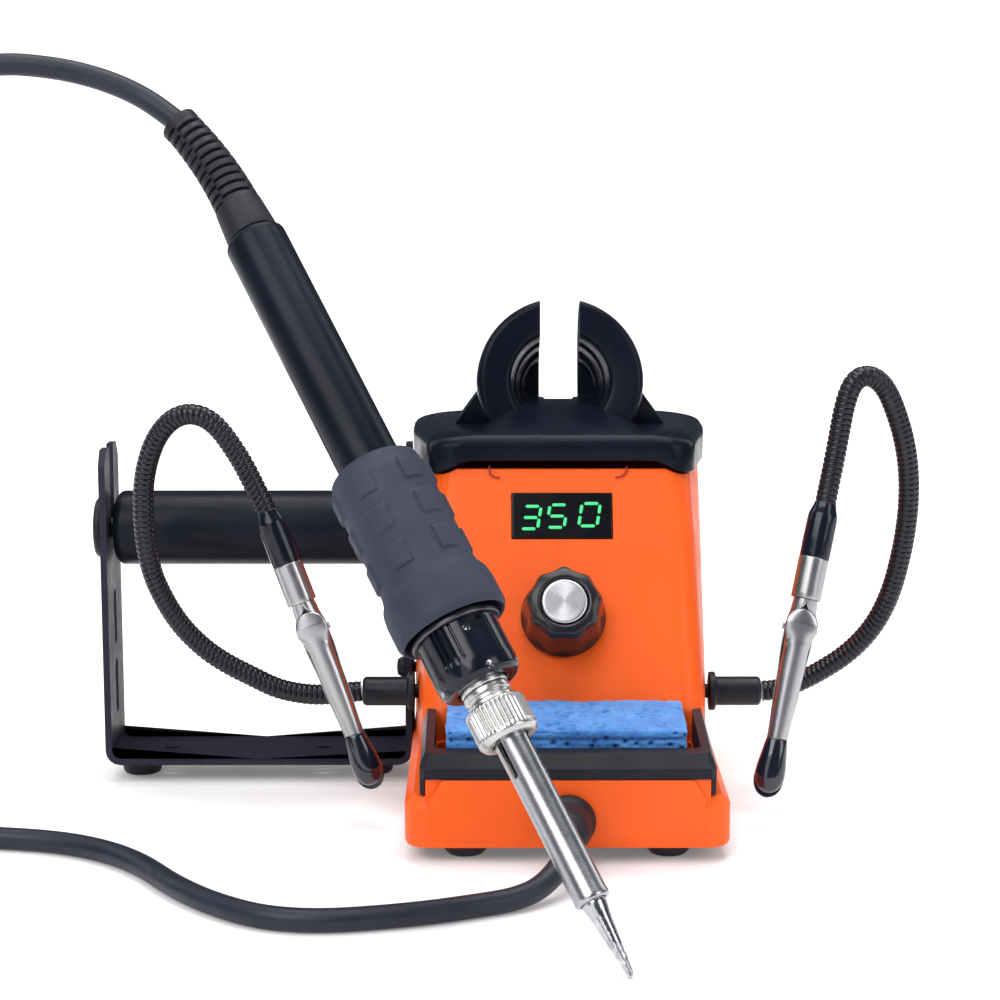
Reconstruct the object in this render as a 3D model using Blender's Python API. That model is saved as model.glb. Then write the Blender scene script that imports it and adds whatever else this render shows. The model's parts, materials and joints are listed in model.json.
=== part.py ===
"""Soldering iron station: base unit, iron with its cord, solder spool bracket and two helping hands.

Metres, +Z up. The front looks toward -Y. The origin is on the table, at the middle of the object's
box (cord left out). Lengths below are in millimetres and are turned into metres by mm().
"""

import math

import bmesh
import bpy
from mathutils import Matrix, Quaternion, Vector

for old in list(bpy.data.objects):
    bpy.data.objects.remove(old, do_unlink=True)

# ---------------------------------------------------------------- driving dimensions, millimetres
GAP = 0.3  # clearance between two pieces that touch
SHIFT_X, SHIFT_Y = 17.14, -25.63  # from the front edge's middle to the middle of the box

BASE_HALF, BASE_DEPTH, BASE_LOW, BASE_STEP = 40.5, 130.0, 4.0, 14.0
WALL = 2.0
SEAM_WALL = 1.2  # the casing thins towards the seam with the cap
LEDGE = 21.3  # top of the front wall and of the well's rim
PANEL_Y, PANEL_Z, PANEL_LEAN = 37.0, 30.0, 30.0  # foot of the sloping front panel, degrees from upright
CAP_Z, CAP_TOP, CAP_DIP = 89.8, 97.5, 3.6
WELL_HALF, WELL_FRONT, WELL_BACK, WELL_FLOOR = 33.0, 8.0, 36.3, 14.6
SPONGE_HALF, SPONGE_FRONT, SPONGE_BACK = 30.6, 10.6, 35.2
HOLDER_Y, HOLDER_Z, HOLDER_R, HOLDER_TILT = 97.0, 107.6, 23.1, 14.0
SLOT_HALF, SLOT_BOTTOM = 5.5, 102.6
FOOT_X, FOOT_FRONT, FOOT_BACK = 25.4, 10.0, 119.0

WINDOW_UP, WINDOW_W, WINDOW_H = 53.5, 26.6, 12.8  # along the panel from its foot
KNOB_UP, KNOB_R, KNOB_H = 24.8, 11.2, 15.0

BRACKET_LEFT, BRACKET_RIGHT = -125.4, -40.8
BRACKET_Y, BRACKET_W, BRACKET_T = 84.0, 24.0, 1.8
BRACKET_LOW, BRACKET_TOP = 5.0, 92.4
ROLLER_Z, ROLLER_R, SPINDLE_R = 69.6, 10.2, 2.8

HAND_Y, HAND_Z, NECK_R = 60.0, 29.0, 2.75
CORD_R = 2.8
TIP = (11.4, -78.9, 0.35)  # point of the iron's tip
TAIL_DIR = (-0.4375, 0.4869, 0.7562)  # from the tip to the tail
CORD_SIDE = (-0.98, 0.03, 0.20)  # where the cord heads once it has left the iron
BEND_FROM, BEND_R = 212.0, 102.0  # the strain relief bends from here on, at this radius
COIL = (-215.0, -21.0)  # middle of the coiled cord


def mm(x, y, z):
    return Vector(((x + SHIFT_X) / 1000, (y + SHIFT_Y) / 1000, z / 1000))


# ---------------------------------------------------------------- materials
def material(name, colour, roughness, metallic=0.0):
    m = bpy.data.materials.new(name)
    m.use_nodes = True
    bsdf = m.node_tree.nodes["Principled BSDF"]
    bsdf.inputs["Base Color"].default_value = (*colour, 1)
    bsdf.inputs["Roughness"].default_value = roughness
    bsdf.inputs["Metallic"].default_value = metallic
    m.diffuse_color = (*colour, 1)
    return m


ORANGE = (0.90, 0.14, 0.03)
BLACK = (0.012, 0.015, 0.025)
STEEL = (0.60, 0.60, 0.61)


# ---------------------------------------------------------------- tools
def finish(name, bm, colour, roughness, metallic=0.0, parent=None, smooth=40):
    """An object from a bmesh in metres, with outward normals and its own material."""
    bmesh.ops.recalc_face_normals(bm, faces=bm.faces)
    if bm.calc_volume(signed=True) < 0:
        bmesh.ops.reverse_faces(bm, faces=bm.faces)
    mesh = bpy.data.meshes.new(name)
    bm.to_mesh(mesh)
    bm.free()
    mesh.shade_smooth()
    mesh.set_sharp_from_angle(angle=math.radians(smooth))
    obj = bpy.data.objects.new(name, mesh)
    bpy.context.scene.collection.objects.link(obj)
    mesh.materials.append(material(name, colour, roughness, metallic))
    if parent is not None:
        obj.parent = parent
    return obj


def loft(rings):
    """Closed body through rings of equal length, given in metres."""
    bm = bmesh.new()
    rows = [[bm.verts.new(p) for p in ring] for ring in rings]
    n = len(rows[0])
    for low, high in zip(rows, rows[1:]):
        for i in range(n):
            bm.faces.new((low[i], low[(i + 1) % n], high[(i + 1) % n], high[i]))
    for row, turn in ((rows[0], 1), (rows[-1], -1)):
        heights = [v.co.z for v in row]
        if max(heights) - min(heights) < 1e-7 or len(row) < 20:
            bm.faces.new(row[::turn])
            continue
        # a seam that isn't flat is closed with a fan round its middle
        middle = bm.verts.new(sum((v.co for v in row), Vector()) / n)
        for i in range(n):
            bm.faces.new((row[i], row[(i + 1) % n], middle)[::turn])
    return bm


def lathe(profile, segments, closed=False):
    """Turns a profile of (radius, height) in millimetres about local Z. closed joins its ends, as for a ring."""
    bm = bmesh.new()
    rows = []
    for r, z in profile:
        if r < 1e-6:
            rows.append([bm.verts.new((0, 0, z / 1000))])
        else:
            rows.append(
                [
                    bm.verts.new(
                        (
                            r / 1000 * math.cos(math.tau * i / segments),
                            r / 1000 * math.sin(math.tau * i / segments),
                            z / 1000,
                        )
                    )
                    for i in range(segments)
                ]
            )
    pairs = list(zip(rows, rows[1:]))
    if closed:
        pairs.append((rows[-1], rows[0]))
    for a, b in pairs:
        for i in range(segments):
            j = (i + 1) % segments
            if len(a) == 1:
                bm.faces.new((a[0], b[j], b[i]))
            elif len(b) == 1:
                bm.faces.new((a[i], a[j], b[0]))
            else:
                bm.faces.new((a[i], a[j], b[j], b[i]))
    return bm


def prism(points, low, high, axis):
    """Extrudes a polygon, in millimetres, along an axis: x takes (y, z) points, y takes (x, z), z takes (x, y)."""
    place = {
        "x": lambda p, t: mm(t, p[0], p[1]),
        "y": lambda p, t: mm(p[0], t, p[1]),
        "z": lambda p, t: mm(p[0], p[1], t),
    }[axis]
    return loft([[place(p, low) for p in points], [place(p, high) for p in points]])


def box(x0, x1, y0, y1, z0, z1):
    return prism([(x0, y0), (x1, y0), (x1, y1), (x0, y1)], z0, z1, "z")


def rounded(x0, x1, y0, y1, r, steps=4):
    """Corner-rounded rectangle, as (x, y) points, counter-clockwise."""
    points = []
    for cx, cy, start in (
        (x1 - r, y0 + r, -90),
        (x1 - r, y1 - r, 0),
        (x0 + r, y1 - r, 90),
        (x0 + r, y0 + r, 180),
    ):
        for i in range(steps + 1):
            a = math.radians(start + 90 * i / steps)
            points.append((cx + r * math.cos(a), cy + r * math.sin(a)))
    return points


def stadium(cx, cy, half_w, half_l, steps=5):
    """Slot outline, long along its second coordinate."""
    points = []
    for end, start in ((1, 0), (-1, 180)):
        for i in range(steps + 1):
            a = math.radians(start + 180 * i / steps)
            points.append(
                (cx + half_w * math.cos(a), cy + end * (half_l - half_w) + half_w * math.sin(a))
            )
    return points


def cut(obj, bm, operation="DIFFERENCE"):
    """Applies one Boolean with a body that is then thrown away. EXACT leaves gaps where the casing's sloping walls
    nearly meet, so the casing takes MANIFOLD."""
    bmesh.ops.recalc_face_normals(bm, faces=bm.faces)
    if bm.calc_volume(signed=True) < 0:
        bmesh.ops.reverse_faces(bm, faces=bm.faces)
    mesh = bpy.data.meshes.new("cutter")
    bm.to_mesh(mesh)
    bm.free()
    cutter = bpy.data.objects.new("cutter", mesh)
    bpy.context.scene.collection.objects.link(cutter)
    if obj.parent is not None:
        cutter.parent = obj.parent  # the cutter is given in the frame of the piece it cuts
    modifier = obj.modifiers.new("cut", "BOOLEAN")
    modifier.operation = operation
    modifier.solver = "MANIFOLD" if obj.name == "body_shell" else "EXACT"
    modifier.object = cutter
    bpy.context.view_layer.update()
    graph = bpy.context.evaluated_depsgraph_get()
    result = bpy.data.meshes.new_from_object(obj.evaluated_get(graph))
    obj.modifiers.clear()
    old = obj.data
    obj.data = result
    result.name = obj.name
    bpy.data.objects.remove(cutter, do_unlink=True)
    bpy.data.meshes.remove(old)
    result.shade_smooth()
    result.set_sharp_from_angle(angle=math.radians(35))


def frame(name, at, z_axis, x_hint=(1, 0, 0)):
    """Empty whose local Z points along z_axis, and X as near x_hint as it can."""
    empty = bpy.data.objects.new(name, None)
    empty.empty_display_size = 0.01
    bpy.context.scene.collection.objects.link(empty)
    z = Vector(z_axis).normalized()
    x = Vector(x_hint)
    x = (x - z * x.dot(z)).normalized()
    y = z.cross(x)
    empty.matrix_world = Matrix.Translation(at) @ Matrix((x, y, z)).transposed().to_4x4()
    return empty


def local_box(x0, x1, y0, y1, z0, z1):
    points = [(x0, y0), (x1, y0), (x1, y1), (x0, y1)]
    return loft([[Vector((x, y, z)) / 1000 for x, y in points] for z in (z0, z1)])


def local_prism(points, z0, z1):
    return loft([[Vector((x, y, z)) / 1000 for x, y in points] for z in (z0, z1)])


def move_origin(obj, at):
    """Puts the object's origin at a point in world metres."""
    obj.data.transform(Matrix.Translation(-at))
    obj.location = at


def smooth_route(points, count):
    """Points at even spacing along a centripetal Catmull-Rom curve through the given ones."""
    p = [Vector(q) for q in points]
    p = [2 * p[0] - p[1]] + p + [2 * p[-1] - p[-2]]
    dense = []
    for i in range(1, len(p) - 2):
        a, b, c, d = p[i - 1 : i + 3]
        t = [0.0]
        for u, v in ((a, b), (b, c), (c, d)):
            t.append(t[-1] + max((v - u).length, 1e-6) ** 0.5)
        for k in range(24):
            s = t[1] + (t[2] - t[1]) * k / 24
            ab = a * ((t[1] - s) / (t[1] - t[0])) + b * ((s - t[0]) / (t[1] - t[0]))
            bc = b * ((t[2] - s) / (t[2] - t[1])) + c * ((s - t[1]) / (t[2] - t[1]))
            cd = c * ((t[3] - s) / (t[3] - t[2])) + d * ((s - t[2]) / (t[3] - t[2]))
            abc = ab * ((t[2] - s) / (t[2] - t[0])) + bc * ((s - t[0]) / (t[2] - t[0]))
            bcd = bc * ((t[3] - s) / (t[3] - t[1])) + cd * ((s - t[1]) / (t[3] - t[1]))
            dense.append(abc * ((t[2] - s) / (t[2] - t[1])) + bcd * ((s - t[1]) / (t[2] - t[1])))
    dense.append(p[-2])
    run = [0.0]
    for a, b in zip(dense, dense[1:]):
        run.append(run[-1] + (b - a).length)
    out, j = [], 0
    for k in range(count):
        want = run[-1] * k / (count - 1)
        while j < len(run) - 2 and run[j + 1] < want:
            j += 1
        f = (want - run[j]) / max(run[j + 1] - run[j], 1e-9)
        out.append(dense[j].lerp(dense[j + 1], min(max(f, 0), 1)))
    return out


def tube(name, points, radius, colour, roughness, resolution=2, metallic=0.0):
    """Round tube along points in world metres, as a curve with filled caps."""
    curve = bpy.data.curves.new(name, "CURVE")
    curve.dimensions = "3D"
    curve.bevel_depth = radius / 1000
    curve.bevel_resolution = resolution
    curve.use_fill_caps = True
    spline = curve.splines.new("POLY")
    spline.points.add(len(points) - 1)
    for point, co in zip(spline.points, points):
        point.co = (*co, 1)
    curve.materials.append(material(name, colour, roughness, metallic))
    obj = bpy.data.objects.new(name, curve)
    bpy.context.scene.collection.objects.link(obj)
    return obj


# ---------------------------------------------------------------- base unit
LEAN = math.radians(PANEL_LEAN)


def panel_y(z):
    return PANEL_Y + max(z - PANEL_Z, 0.0) * math.tan(LEAN)


def cap_edge(x):
    """Height of the seam between casing and cap, which dips towards the corners."""
    t = min(max((abs(x) - 24.0) / 11.0, 0.0), 1.0)
    return CAP_Z - CAP_DIP * t * t * (3 - 2 * t)


def tower_ring(z, inset=0.0, seam=False, lift=0.0):
    """Plan of the upper casing at a height: narrow at the panel, wider at the back."""
    front, back = panel_y(z) + inset / math.cos(LEAN), 127.0 - 0.03 * (z - 14) - inset
    half_front, half_back = 37.2 - 0.032 * (z - 30) - inset, 39.7 - inset
    side = front + 22
    r = max(7.0 - inset, 1.5)
    points = []
    for i in range(7):
        a = math.radians(-90 + 90 * i / 6)
        points.append((half_front - r + r * math.cos(a), front + r + r * math.sin(a)))
    points.append((half_back - 0.6, side + 6))
    points.append((half_back, side + 14))
    for i in range(6):
        a = math.radians(90 * i / 5)
        points.append((half_back - r + r * math.cos(a), back - r + r * math.sin(a)))
    points += [(-x, y) for x, y in points[::-1]]
    return [mm(x, y, (cap_edge(x) if seam else z) + lift) for x, y in points]


def base_ring(z, inset):
    return [mm(x, y, z) for x, y in rounded(-BASE_HALF + inset, BASE_HALF - inset, inset, BASE_DEPTH - inset, max(6 - inset, 1.5))]


shell_bm = loft(
    [base_ring(BASE_LOW, 0.4), base_ring(BASE_LOW + 0.8, 0), base_ring(BASE_STEP, 0), base_ring(BASE_STEP + 2.6, 2.2)]
)
body_shell = finish("body_shell", shell_bm, ORANGE, 0.34)
cut(body_shell, loft([tower_ring(z) for z in (12.0, 30.0, 50.0, 70.0)] + [tower_ring(CAP_Z, seam=True)]), "UNION")
# raised front wall with slanted corners, and the block round the sponge well
cut(
    body_shell,
    prism([(-34.0, 6.0), (34.0, 6.0), (34.0, 16.6), (31.0, LEDGE + 0.05), (-31.0, LEDGE + 0.05), (-34.0, 16.6)], -0.2, 1.6, "y"),
    "UNION",
)
cut(body_shell, box(-35.2, 35.2, 0.9, 45.0, 11.0, LEDGE), "UNION")
# inside: base hollow, tower hollow, then the well
cut(
    body_shell,
    loft([base_ring(2.0, WALL), base_ring(BASE_STEP - 1.5, WALL), base_ring(BASE_STEP - 0.5, WALL + 1.2)]),
)
cut(body_shell, loft([tower_ring(z, WALL) for z in (40.0, 60.0, 70.0)] + [tower_ring(CAP_Z, SEAM_WALL, True), tower_ring(CAP_Z, SEAM_WALL, True, 5.0)]))
cut(body_shell, loft([[mm(x, y, z) for x, y in rounded(-35, 35, 47, 124.4, 3)] for z in (9.0, 45.0)]))
# the cap's front edge is wider than the casing's, so the casing stops a little lower there
seam_cut = [(x, cap_edge(max(abs(x), 28.3) + 1.2) - 0.2) for x in (-40, -35, -33.5, -32, -30.5, -29.2, -28.3, 28.3, 29.2, 30.5, 32, 33.5, 35, 40)]
cut(body_shell, prism(seam_cut + [(40, 100.0), (-40, 100.0)], 60.0, 84.0, "y"))
cut(
    body_shell,
    loft([[mm(x, y, z) for x, y in rounded(-WELL_HALF, WELL_HALF, WELL_FRONT, WELL_BACK, 2.5)] for z in (WELL_FLOOR, 40.0)]),
)

# the two panel openings, in the panel's own frame
normal = Vector((0, -math.cos(LEAN), math.sin(LEAN)))
panel = frame("panel_frame", mm(0, PANEL_Y, PANEL_Z), normal)
bpy.context.view_layer.update()
up = Vector((0, math.sin(LEAN), math.cos(LEAN)))


def on_panel(bm):
    bm.transform(panel.matrix_world)
    return bm


cut(body_shell, on_panel(local_box(-WINDOW_W / 2 - GAP, WINDOW_W / 2 + GAP, WINDOW_UP - WINDOW_H / 2 - GAP, WINDOW_UP + WINDOW_H / 2 + GAP, -6, 4)))
hole = lathe([(0, -6), (3.8, -6), (3.8, 4), (0, 4)], 20)
hole.transform(Matrix.Translation((0, KNOB_UP / 1000, 0)))
cut(body_shell, on_panel(hole))
# side screw hole, hand sockets, cord hole, rear switch and inlet openings
for side in (-1, 1):
    bm = lathe([(0, -4), (2.3, -4), (2.3, 4), (0, 4)], 16)
    bm.transform(Matrix.Translation(mm(side * 38, HAND_Y, HAND_Z)) @ Matrix.Rotation(math.pi / 2, 4, "Y"))
    cut(body_shell, bm)
bm = lathe([(0, -4), (1.9, -4), (1.9, 4), (0, 4)], 16)
bm.transform(Matrix.Translation(mm(-39, BRACKET_Y, 30)) @ Matrix.Rotation(math.pi / 2, 4, "Y"))
cut(body_shell, bm)
bm = lathe([(0, -5), (4.3, -5), (4.3, 5), (0, 5)], 20)
bm.transform(Matrix.Translation(mm(0, 1, 11.2)) @ Matrix.Rotation(math.pi / 2, 4, "X"))
cut(body_shell, bm)
cut(body_shell, box(-27.3 - GAP, -6.3 + GAP, 120, 135, 24 - GAP, 40 + GAP))
cut(body_shell, box(5.0 - GAP, 19.0 + GAP, 120, 135, 24 - GAP, 40 + GAP))

bottom_plate = finish(
    "bottom_plate",
    loft([[mm(x, y, z) for x, y in rounded(-BASE_HALF + 2.5, BASE_HALF - 2.5, 2.5, BASE_DEPTH - 2.5, 4)] for z in (4.1, 6.3)]),
    BLACK,
    0.6,
)

for name, x, y in (
    ("foot_front_left", -FOOT_X, FOOT_FRONT),
    ("foot_front_right", FOOT_X, FOOT_FRONT),
    ("foot_back_left", -FOOT_X, FOOT_BACK),
    ("foot_back_right", FOOT_X, FOOT_BACK),
):
    foot = finish(name, lathe([(0, 0), (4.4, 0), (5.0, 0.5), (6.9, 3.2), (6.9, 3.8), (0, 3.8)], 20), BLACK, 0.75)
    foot.location = mm(x, y, 0)

# ---- black frame round the sponge well
arm_low, arm_back = 17.1, 36.6


def frame_top(y):
    return 27.6 + 0.09 * (y - 7)


def tray_ring(half, front, z_of, back=arm_back):
    inner = half
    return [mm(x, y, z_of(y)) for x, y in ((-inner, back), (-inner, front + 1.2), (-inner + 1.2, front), (inner - 1.2, front), (inner, front + 1.2), (inner, back))]


bm = bmesh.new()
outer_low = tray_ring(36.6, 0.0, lambda y: LEDGE + GAP)
outer_mid = tray_ring(36.6, 0.0, lambda y: 24.2 + 0.07 * y)
outer_top = tray_ring(35.4, 3.2, lambda y: frame_top(y))
inner_top = tray_ring(WELL_HALF + 0.2, 8.0, lambda y: frame_top(y) - 0.3)
inner_low = tray_ring(WELL_HALF + 0.2, 8.0, lambda y: LEDGE + GAP)
loops = [[bm.verts.new(p) for p in ring] for ring in (outer_low, outer_mid, outer_top, inner_top, inner_low)]
for a, b in zip(loops, loops[1:] + loops[:1]):
    for i in range(5):
        bm.faces.new((a[i], a[i + 1], b[i + 1], b[i]))
for i in (0, 5):
    bm.faces.new([ring[i] for ring in loops])
tray_frame = finish("tray_frame", bm, BLACK, 0.4)
for side in (-1, 1):
    x0, x1 = sorted((side * 35.5, side * 36.6))
    cut(tray_frame, box(x0, x1, 2.4, arm_back - 0.02, arm_low, 22.5), "UNION")

# ---- sponge: slightly crowned block, laid in the well
bm = bmesh.new()
cols, rows = 7, 5
grid = []
for j in range(rows):
    line = []
    for i in range(cols):
        u, v = i / (cols - 1) * 2 - 1, j / (rows - 1) * 2 - 1
        x = u * SPONGE_HALF
        y = (SPONGE_FRONT + SPONGE_BACK) / 2 + v * (SPONGE_BACK - SPONGE_FRONT) / 2
        edge = max(abs(u), abs(v))
        z = 31.0 + 0.075 * (y - SPONGE_FRONT) + 0.9 * (1 - u * u) * (1 - v * v) - (0.8 if edge > 0.99 else 0)
        line.append(bm.verts.new(mm(x, y, z)))
    grid.append(line)
low = [[bm.verts.new(mm(i / (cols - 1) * 2 * SPONGE_HALF - SPONGE_HALF, SPONGE_FRONT + j / (rows - 1) * (SPONGE_BACK - SPONGE_FRONT), WELL_FLOOR + GAP)) for i in range(cols)] for j in range(rows)]
for j in range(rows - 1):
    for i in range(cols - 1):
        bm.faces.new((grid[j][i], grid[j][i + 1], grid[j + 1][i + 1], grid[j + 1][i]))
        bm.faces.new((low[j][i], low[j + 1][i], low[j + 1][i + 1], low[j][i + 1]))
for i in range(cols - 1):
    bm.faces.new((low[0][i], low[0][i + 1], grid[0][i + 1], grid[0][i]))
    bm.faces.new((grid[-1][i], grid[-1][i + 1], low[-1][i + 1], low[-1][i]))
for j in range(rows - 1):
    bm.faces.new((grid[j][0], grid[j + 1][0], low[j + 1][0], low[j][0]))
    bm.faces.new((low[j][-1], low[j + 1][-1], grid[j + 1][-1], grid[j][-1]))
sponge = finish("sponge", bm, (0.07, 0.36, 0.80), 0.9)
move_origin(sponge, mm(0, (SPONGE_FRONT + SPONGE_BACK) / 2, WELL_FLOOR + GAP))


# ---- cap with the iron holder's dome
def cap_ring(z, inset, seam=False):
    ring = tower_ring(CAP_Z, -1.2 + inset, False)
    out = []
    for p in ring:
        x = p.x * 1000 - SHIFT_X
        out.append(Vector((p.x, p.y, ((cap_edge(x) + GAP) if seam else z) / 1000)))
    return out


top_cap = finish("top_cap", loft([cap_ring(0, 0.0, True), cap_ring(CAP_TOP - 2.2, -0.2), cap_ring(CAP_TOP - 0.6, 0.7), cap_ring(CAP_TOP, 2.4)]), BLACK, 0.12)
cut(
    top_cap,
    loft(
        [
            [mm(x, y, 96.8) for x, y in rounded(-23.5, 23.5, 72.0, 112.0, 3)],
            [mm(x, y, 103.0) for x, y in rounded(-13.5, 13.5, 86.0, 106.0, 3)],
        ]
    ),
    "UNION",
)
holder = frame("holder_frame", mm(0, HOLDER_Y, HOLDER_Z), (0, -math.cos(math.radians(HOLDER_TILT)), math.sin(math.radians(HOLDER_TILT))))
bpy.context.view_layer.update()
dome = lathe(
    [
        (8.4, -15.5),
        (15.5, -14.0),
        (20.0, -9.0),
        (22.6, -1.5),
        (23.1, 5.0),
        (22.6, 9.0),
        (20.8, 11.4),
        (18.2, 12.0),
        (16.6, 10.0),
        (15.0, 4.0),
        (13.4, 3.2),
        (12.0, -3.0),
        (10.2, -4.0),
        (9.0, -12.0),
    ],
    40,
    closed=True,
)
dome.transform(holder.matrix_world)
cut(top_cap, dome, "UNION")
# trim what the dome sends below the seam, then open the slot
cut(top_cap, box(-30, 30, 77.5, 121, 70, 92.4))
cut(top_cap, loft([[mm(x, y, 90.6) for x, y in rounded(-32, 32, 80, 119, 5)], [mm(x, y, 95.2) for x, y in rounded(-31, 31, 81, 118, 5)]]))
cut(top_cap, box(-SLOT_HALF, SLOT_HALF, 60, 140, SLOT_BOTTOM, 150))

# ---- front controls, in the panel's frame (X right, Y up the panel, Z out of it)
display_window = finish("display_window", local_box(-WINDOW_W / 2, WINDOW_W / 2, WINDOW_UP - WINDOW_H / 2, WINDOW_UP + WINDOW_H / 2, -1.6, 0.35), (0.004, 0.006, 0.006), 0.08, parent=panel)
led_display = finish("led_display", local_box(-11.3, 11.3, WINDOW_UP - 5, WINDOW_UP + 5, -8.0, -1.9), (0.02, 0.02, 0.02), 0.4, parent=panel)
control_pcb = finish("control_pcb", local_box(-26, 26, 12, 60, -10.0, -8.4), (0.02, 0.16, 0.05), 0.5, parent=panel)
pot = local_box(-6, 6, KNOB_UP - 6, KNOB_UP + 6, -8.1, -2.6)
potentiometer = finish("potentiometer", pot, (0.35, 0.35, 0.33), 0.35, 0.8, parent=panel)
shaft = lathe([(0, -3.0), (3.2, -3.0), (3.2, 3.0), (2.9, 3.0), (2.9, 9.2), (0, 9.2)], 18)
shaft.transform(Matrix.Translation((0, KNOB_UP / 1000, 0)))
cut(potentiometer, shaft, "UNION")

knob_frame = frame("knob_frame", panel.matrix_world @ Vector((0, KNOB_UP / 1000, 0)), normal)
bm = bmesh.new()
segments = 36
profile = [(3.3, 0.6), (KNOB_R, 0.6), (KNOB_R, 1.8), (9.6, 2.7), (9.1, 3.6), (8.6, 12.4), (7.6, 13.8), (6.3, 14.0), (6.3, 12.7), (0, 12.7)]
rows = []
for k, (r, z) in enumerate(profile):
    if r == 0:
        rows.append([bm.verts.new((0, 0, z / 1000))])
        continue
    row = []
    for i in range(segments):
        a = math.tau * i / segments
        scallop = 0.45 * (0.5 - 0.5 * math.cos(a * 12)) if 4 <= k <= 6 else 0
        row.append(bm.verts.new(((r - scallop) / 1000 * math.cos(a), (r - scallop) / 1000 * math.sin(a), z / 1000)))
    rows.append(row)
for a, b in zip(rows, rows[1:]):
    for i in range(segments):
        j = (i + 1) % segments
        bm.faces.new((a[i], a[j], b[j], b[i]) if len(b) > 1 else (a[i], a[j], b[0]))
top_bore = [bm.verts.new(v.co + Vector((0, 0, 0.009))) for v in rows[0]]
for i in range(segments):
    j = (i + 1) % segments
    bm.faces.new((rows[0][j], rows[0][i], top_bore[i], top_bore[j]))
bm.faces.new(top_bore)
knob = finish("knob", bm, BLACK, 0.15, parent=knob_frame)
knob_inlay = finish("knob_inlay", lathe([(0, 13.0), (6.0, 13.0), (6.0, 14.0), (5.6, 14.3), (0, 14.3)], 36), (0.8, 0.8, 0.8), 0.25, 1.0, parent=knob_frame)

# ---- inside: transformer
transformer_core = finish("transformer_core", box(-24, 24, 62, 102, 12.0, 47.0), (0.22, 0.22, 0.24), 0.5, 0.8)
cut(transformer_core, box(-17.5, -7.5, 50, 112, 20.0, 39.0))
cut(transformer_core, box(7.5, 17.5, 50, 112, 20.0, 39.0))
transformer_coil = finish(
    "transformer_coil",
    prism([(x, z) for x, z in ((-17.0, 20.5), (17.0, 20.5), (17.0, 38.5), (-17.0, 38.5))], 55.0, 109.0, "y"),
    (0.45, 0.20, 0.04),
    0.5,
)
cut(transformer_coil, box(-7.9, 7.9, 61.6, 102.4, 10, 60))

# ---- back: switch and mains inlet
switch_frame = finish("switch_frame", box(5.0, 19.0, 119.0, 129.0, 24.0, 40.0), BLACK, 0.45)
cut(switch_frame, box(3.6, 20.4, 127.1, 129.1, 22.6, 41.4), "UNION")
cut(switch_frame, box(6.6, 17.4, 121.0, 131.0, 25.6, 38.4))
rocker = finish("rocker", prism([(126.0, 26.8), (129.3, 26.8), (128.6, 32.0), (130.6, 37.2), (126.0, 37.2), (123.4, 32.0)], 7.0, 17.0, "x"), BLACK, 0.3)
move_origin(rocker, mm(12.0, 126.2, 32.0))
mains_inlet = finish("mains_inlet", box(-27.3, -6.3, 112.0, 129.0, 24.0, 40.0), BLACK, 0.45)
cut(mains_inlet, box(-29.0, -4.6, 127.1, 129.1, 22.4, 41.6), "UNION")
cut(mains_inlet, prism([(-25.2, 27.4), (-22.6, 25.4), (-11.0, 25.4), (-8.4, 27.4), (-8.4, 38.6), (-25.2, 38.6)], 115.0, 131.0, "y"))
for x, z in ((-20.8, 30.4), (-12.8, 30.4), (-16.8, 34.6)):
    cut(mains_inlet, box(x - 0.9, x + 0.9, 113.0, 126.5, z - 1.9, z + 1.9), "UNION")

# ---- front boot: flange, collar and tapered sleeve
boot_dir = Vector((0, -1, 0))
boot_at = mm(0, -0.3, 11.2)
boot_frame = frame("boot_frame", boot_at, boot_dir)
boot = lathe([(0, 0.35), (6.7, 0.35), (6.9, 1.2), (6.6, 2.6), (5.9, 3.4), (5.5, 8.5), (4.3, 15.0), (3.5, 16.2), (0, 16.2)], 24)
cord_boot = finish("cord_boot", boot, BLACK, 0.5, parent=boot_frame)

# ---------------------------------------------------------------- spool bracket
y0, y1 = BRACKET_Y - BRACKET_W / 2, BRACKET_Y + BRACKET_W / 2
xl, xr, zl, zt, bt = BRACKET_LEFT, BRACKET_RIGHT, BRACKET_LOW, BRACKET_TOP, BRACKET_T


def bend(cx, cz, r, start):
    return [(cx + r * math.cos(math.radians(start + 90 * i / 4)), cz + r * math.sin(math.radians(start + 90 * i / 4))) for i in range(5)]


elbow = 10.0
outer = [(xl, elbow)] + bend(xl + 4, zl + 4, 4, 180) + bend(xr - 4, zl + 4, 4, 270) + [(xr, elbow)]
inner = [(xr - bt, elbow)] + bend(xr - 4, zl + 4, 4 - bt, 270)[::-1] + bend(xl + 4, zl + 4, 4 - bt, 180)[::-1] + [(xl + bt, elbow)]
spool_bracket = finish("spool_bracket", prism(outer + inner, y0, y1, "y"), (0.03, 0.032, 0.05), 0.45, 0.2)
# each arm is a plate with clipped corners and an open notch for the spindle
notch = [(BRACKET_Y + 3.3 * math.cos(math.radians(-30 * i)), ROLLER_Z + 3.3 * math.sin(math.radians(-30 * i))) for i in range(7)]
arm = [(y0 + 0.01, elbow - 0.5), (y1 - 0.01, elbow - 0.5), (y1, zt - 4), (y1 - 3.2, zt), (BRACKET_Y + 3.3, zt)] + notch + [(BRACKET_Y - 3.3, zt), (y0 + 3.2, zt), (y0, zt - 4)]
for x in (xl, xr - bt):
    cut(spool_bracket, prism(arm, x - 0.01, x + bt + 0.01, "x"), "UNION")
for z in (25.0, 44.5):
    cut(spool_bracket, prism(stadium(BRACKET_Y, z, 2.1, 7.8), xl - 5, xl + 5, "x"))
cut(spool_bracket, prism(stadium(BRACKET_Y, 33.0, 2.1, 9.0), xr - 5, xr + 5, "x"))
for x in (-108.5, -66.0):
    cut(spool_bracket, prism([(x + b, BRACKET_Y + a) for a, b in stadium(0, 0, 1.0, 2.3)], zl - 2, zl + 4, "z"))
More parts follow.
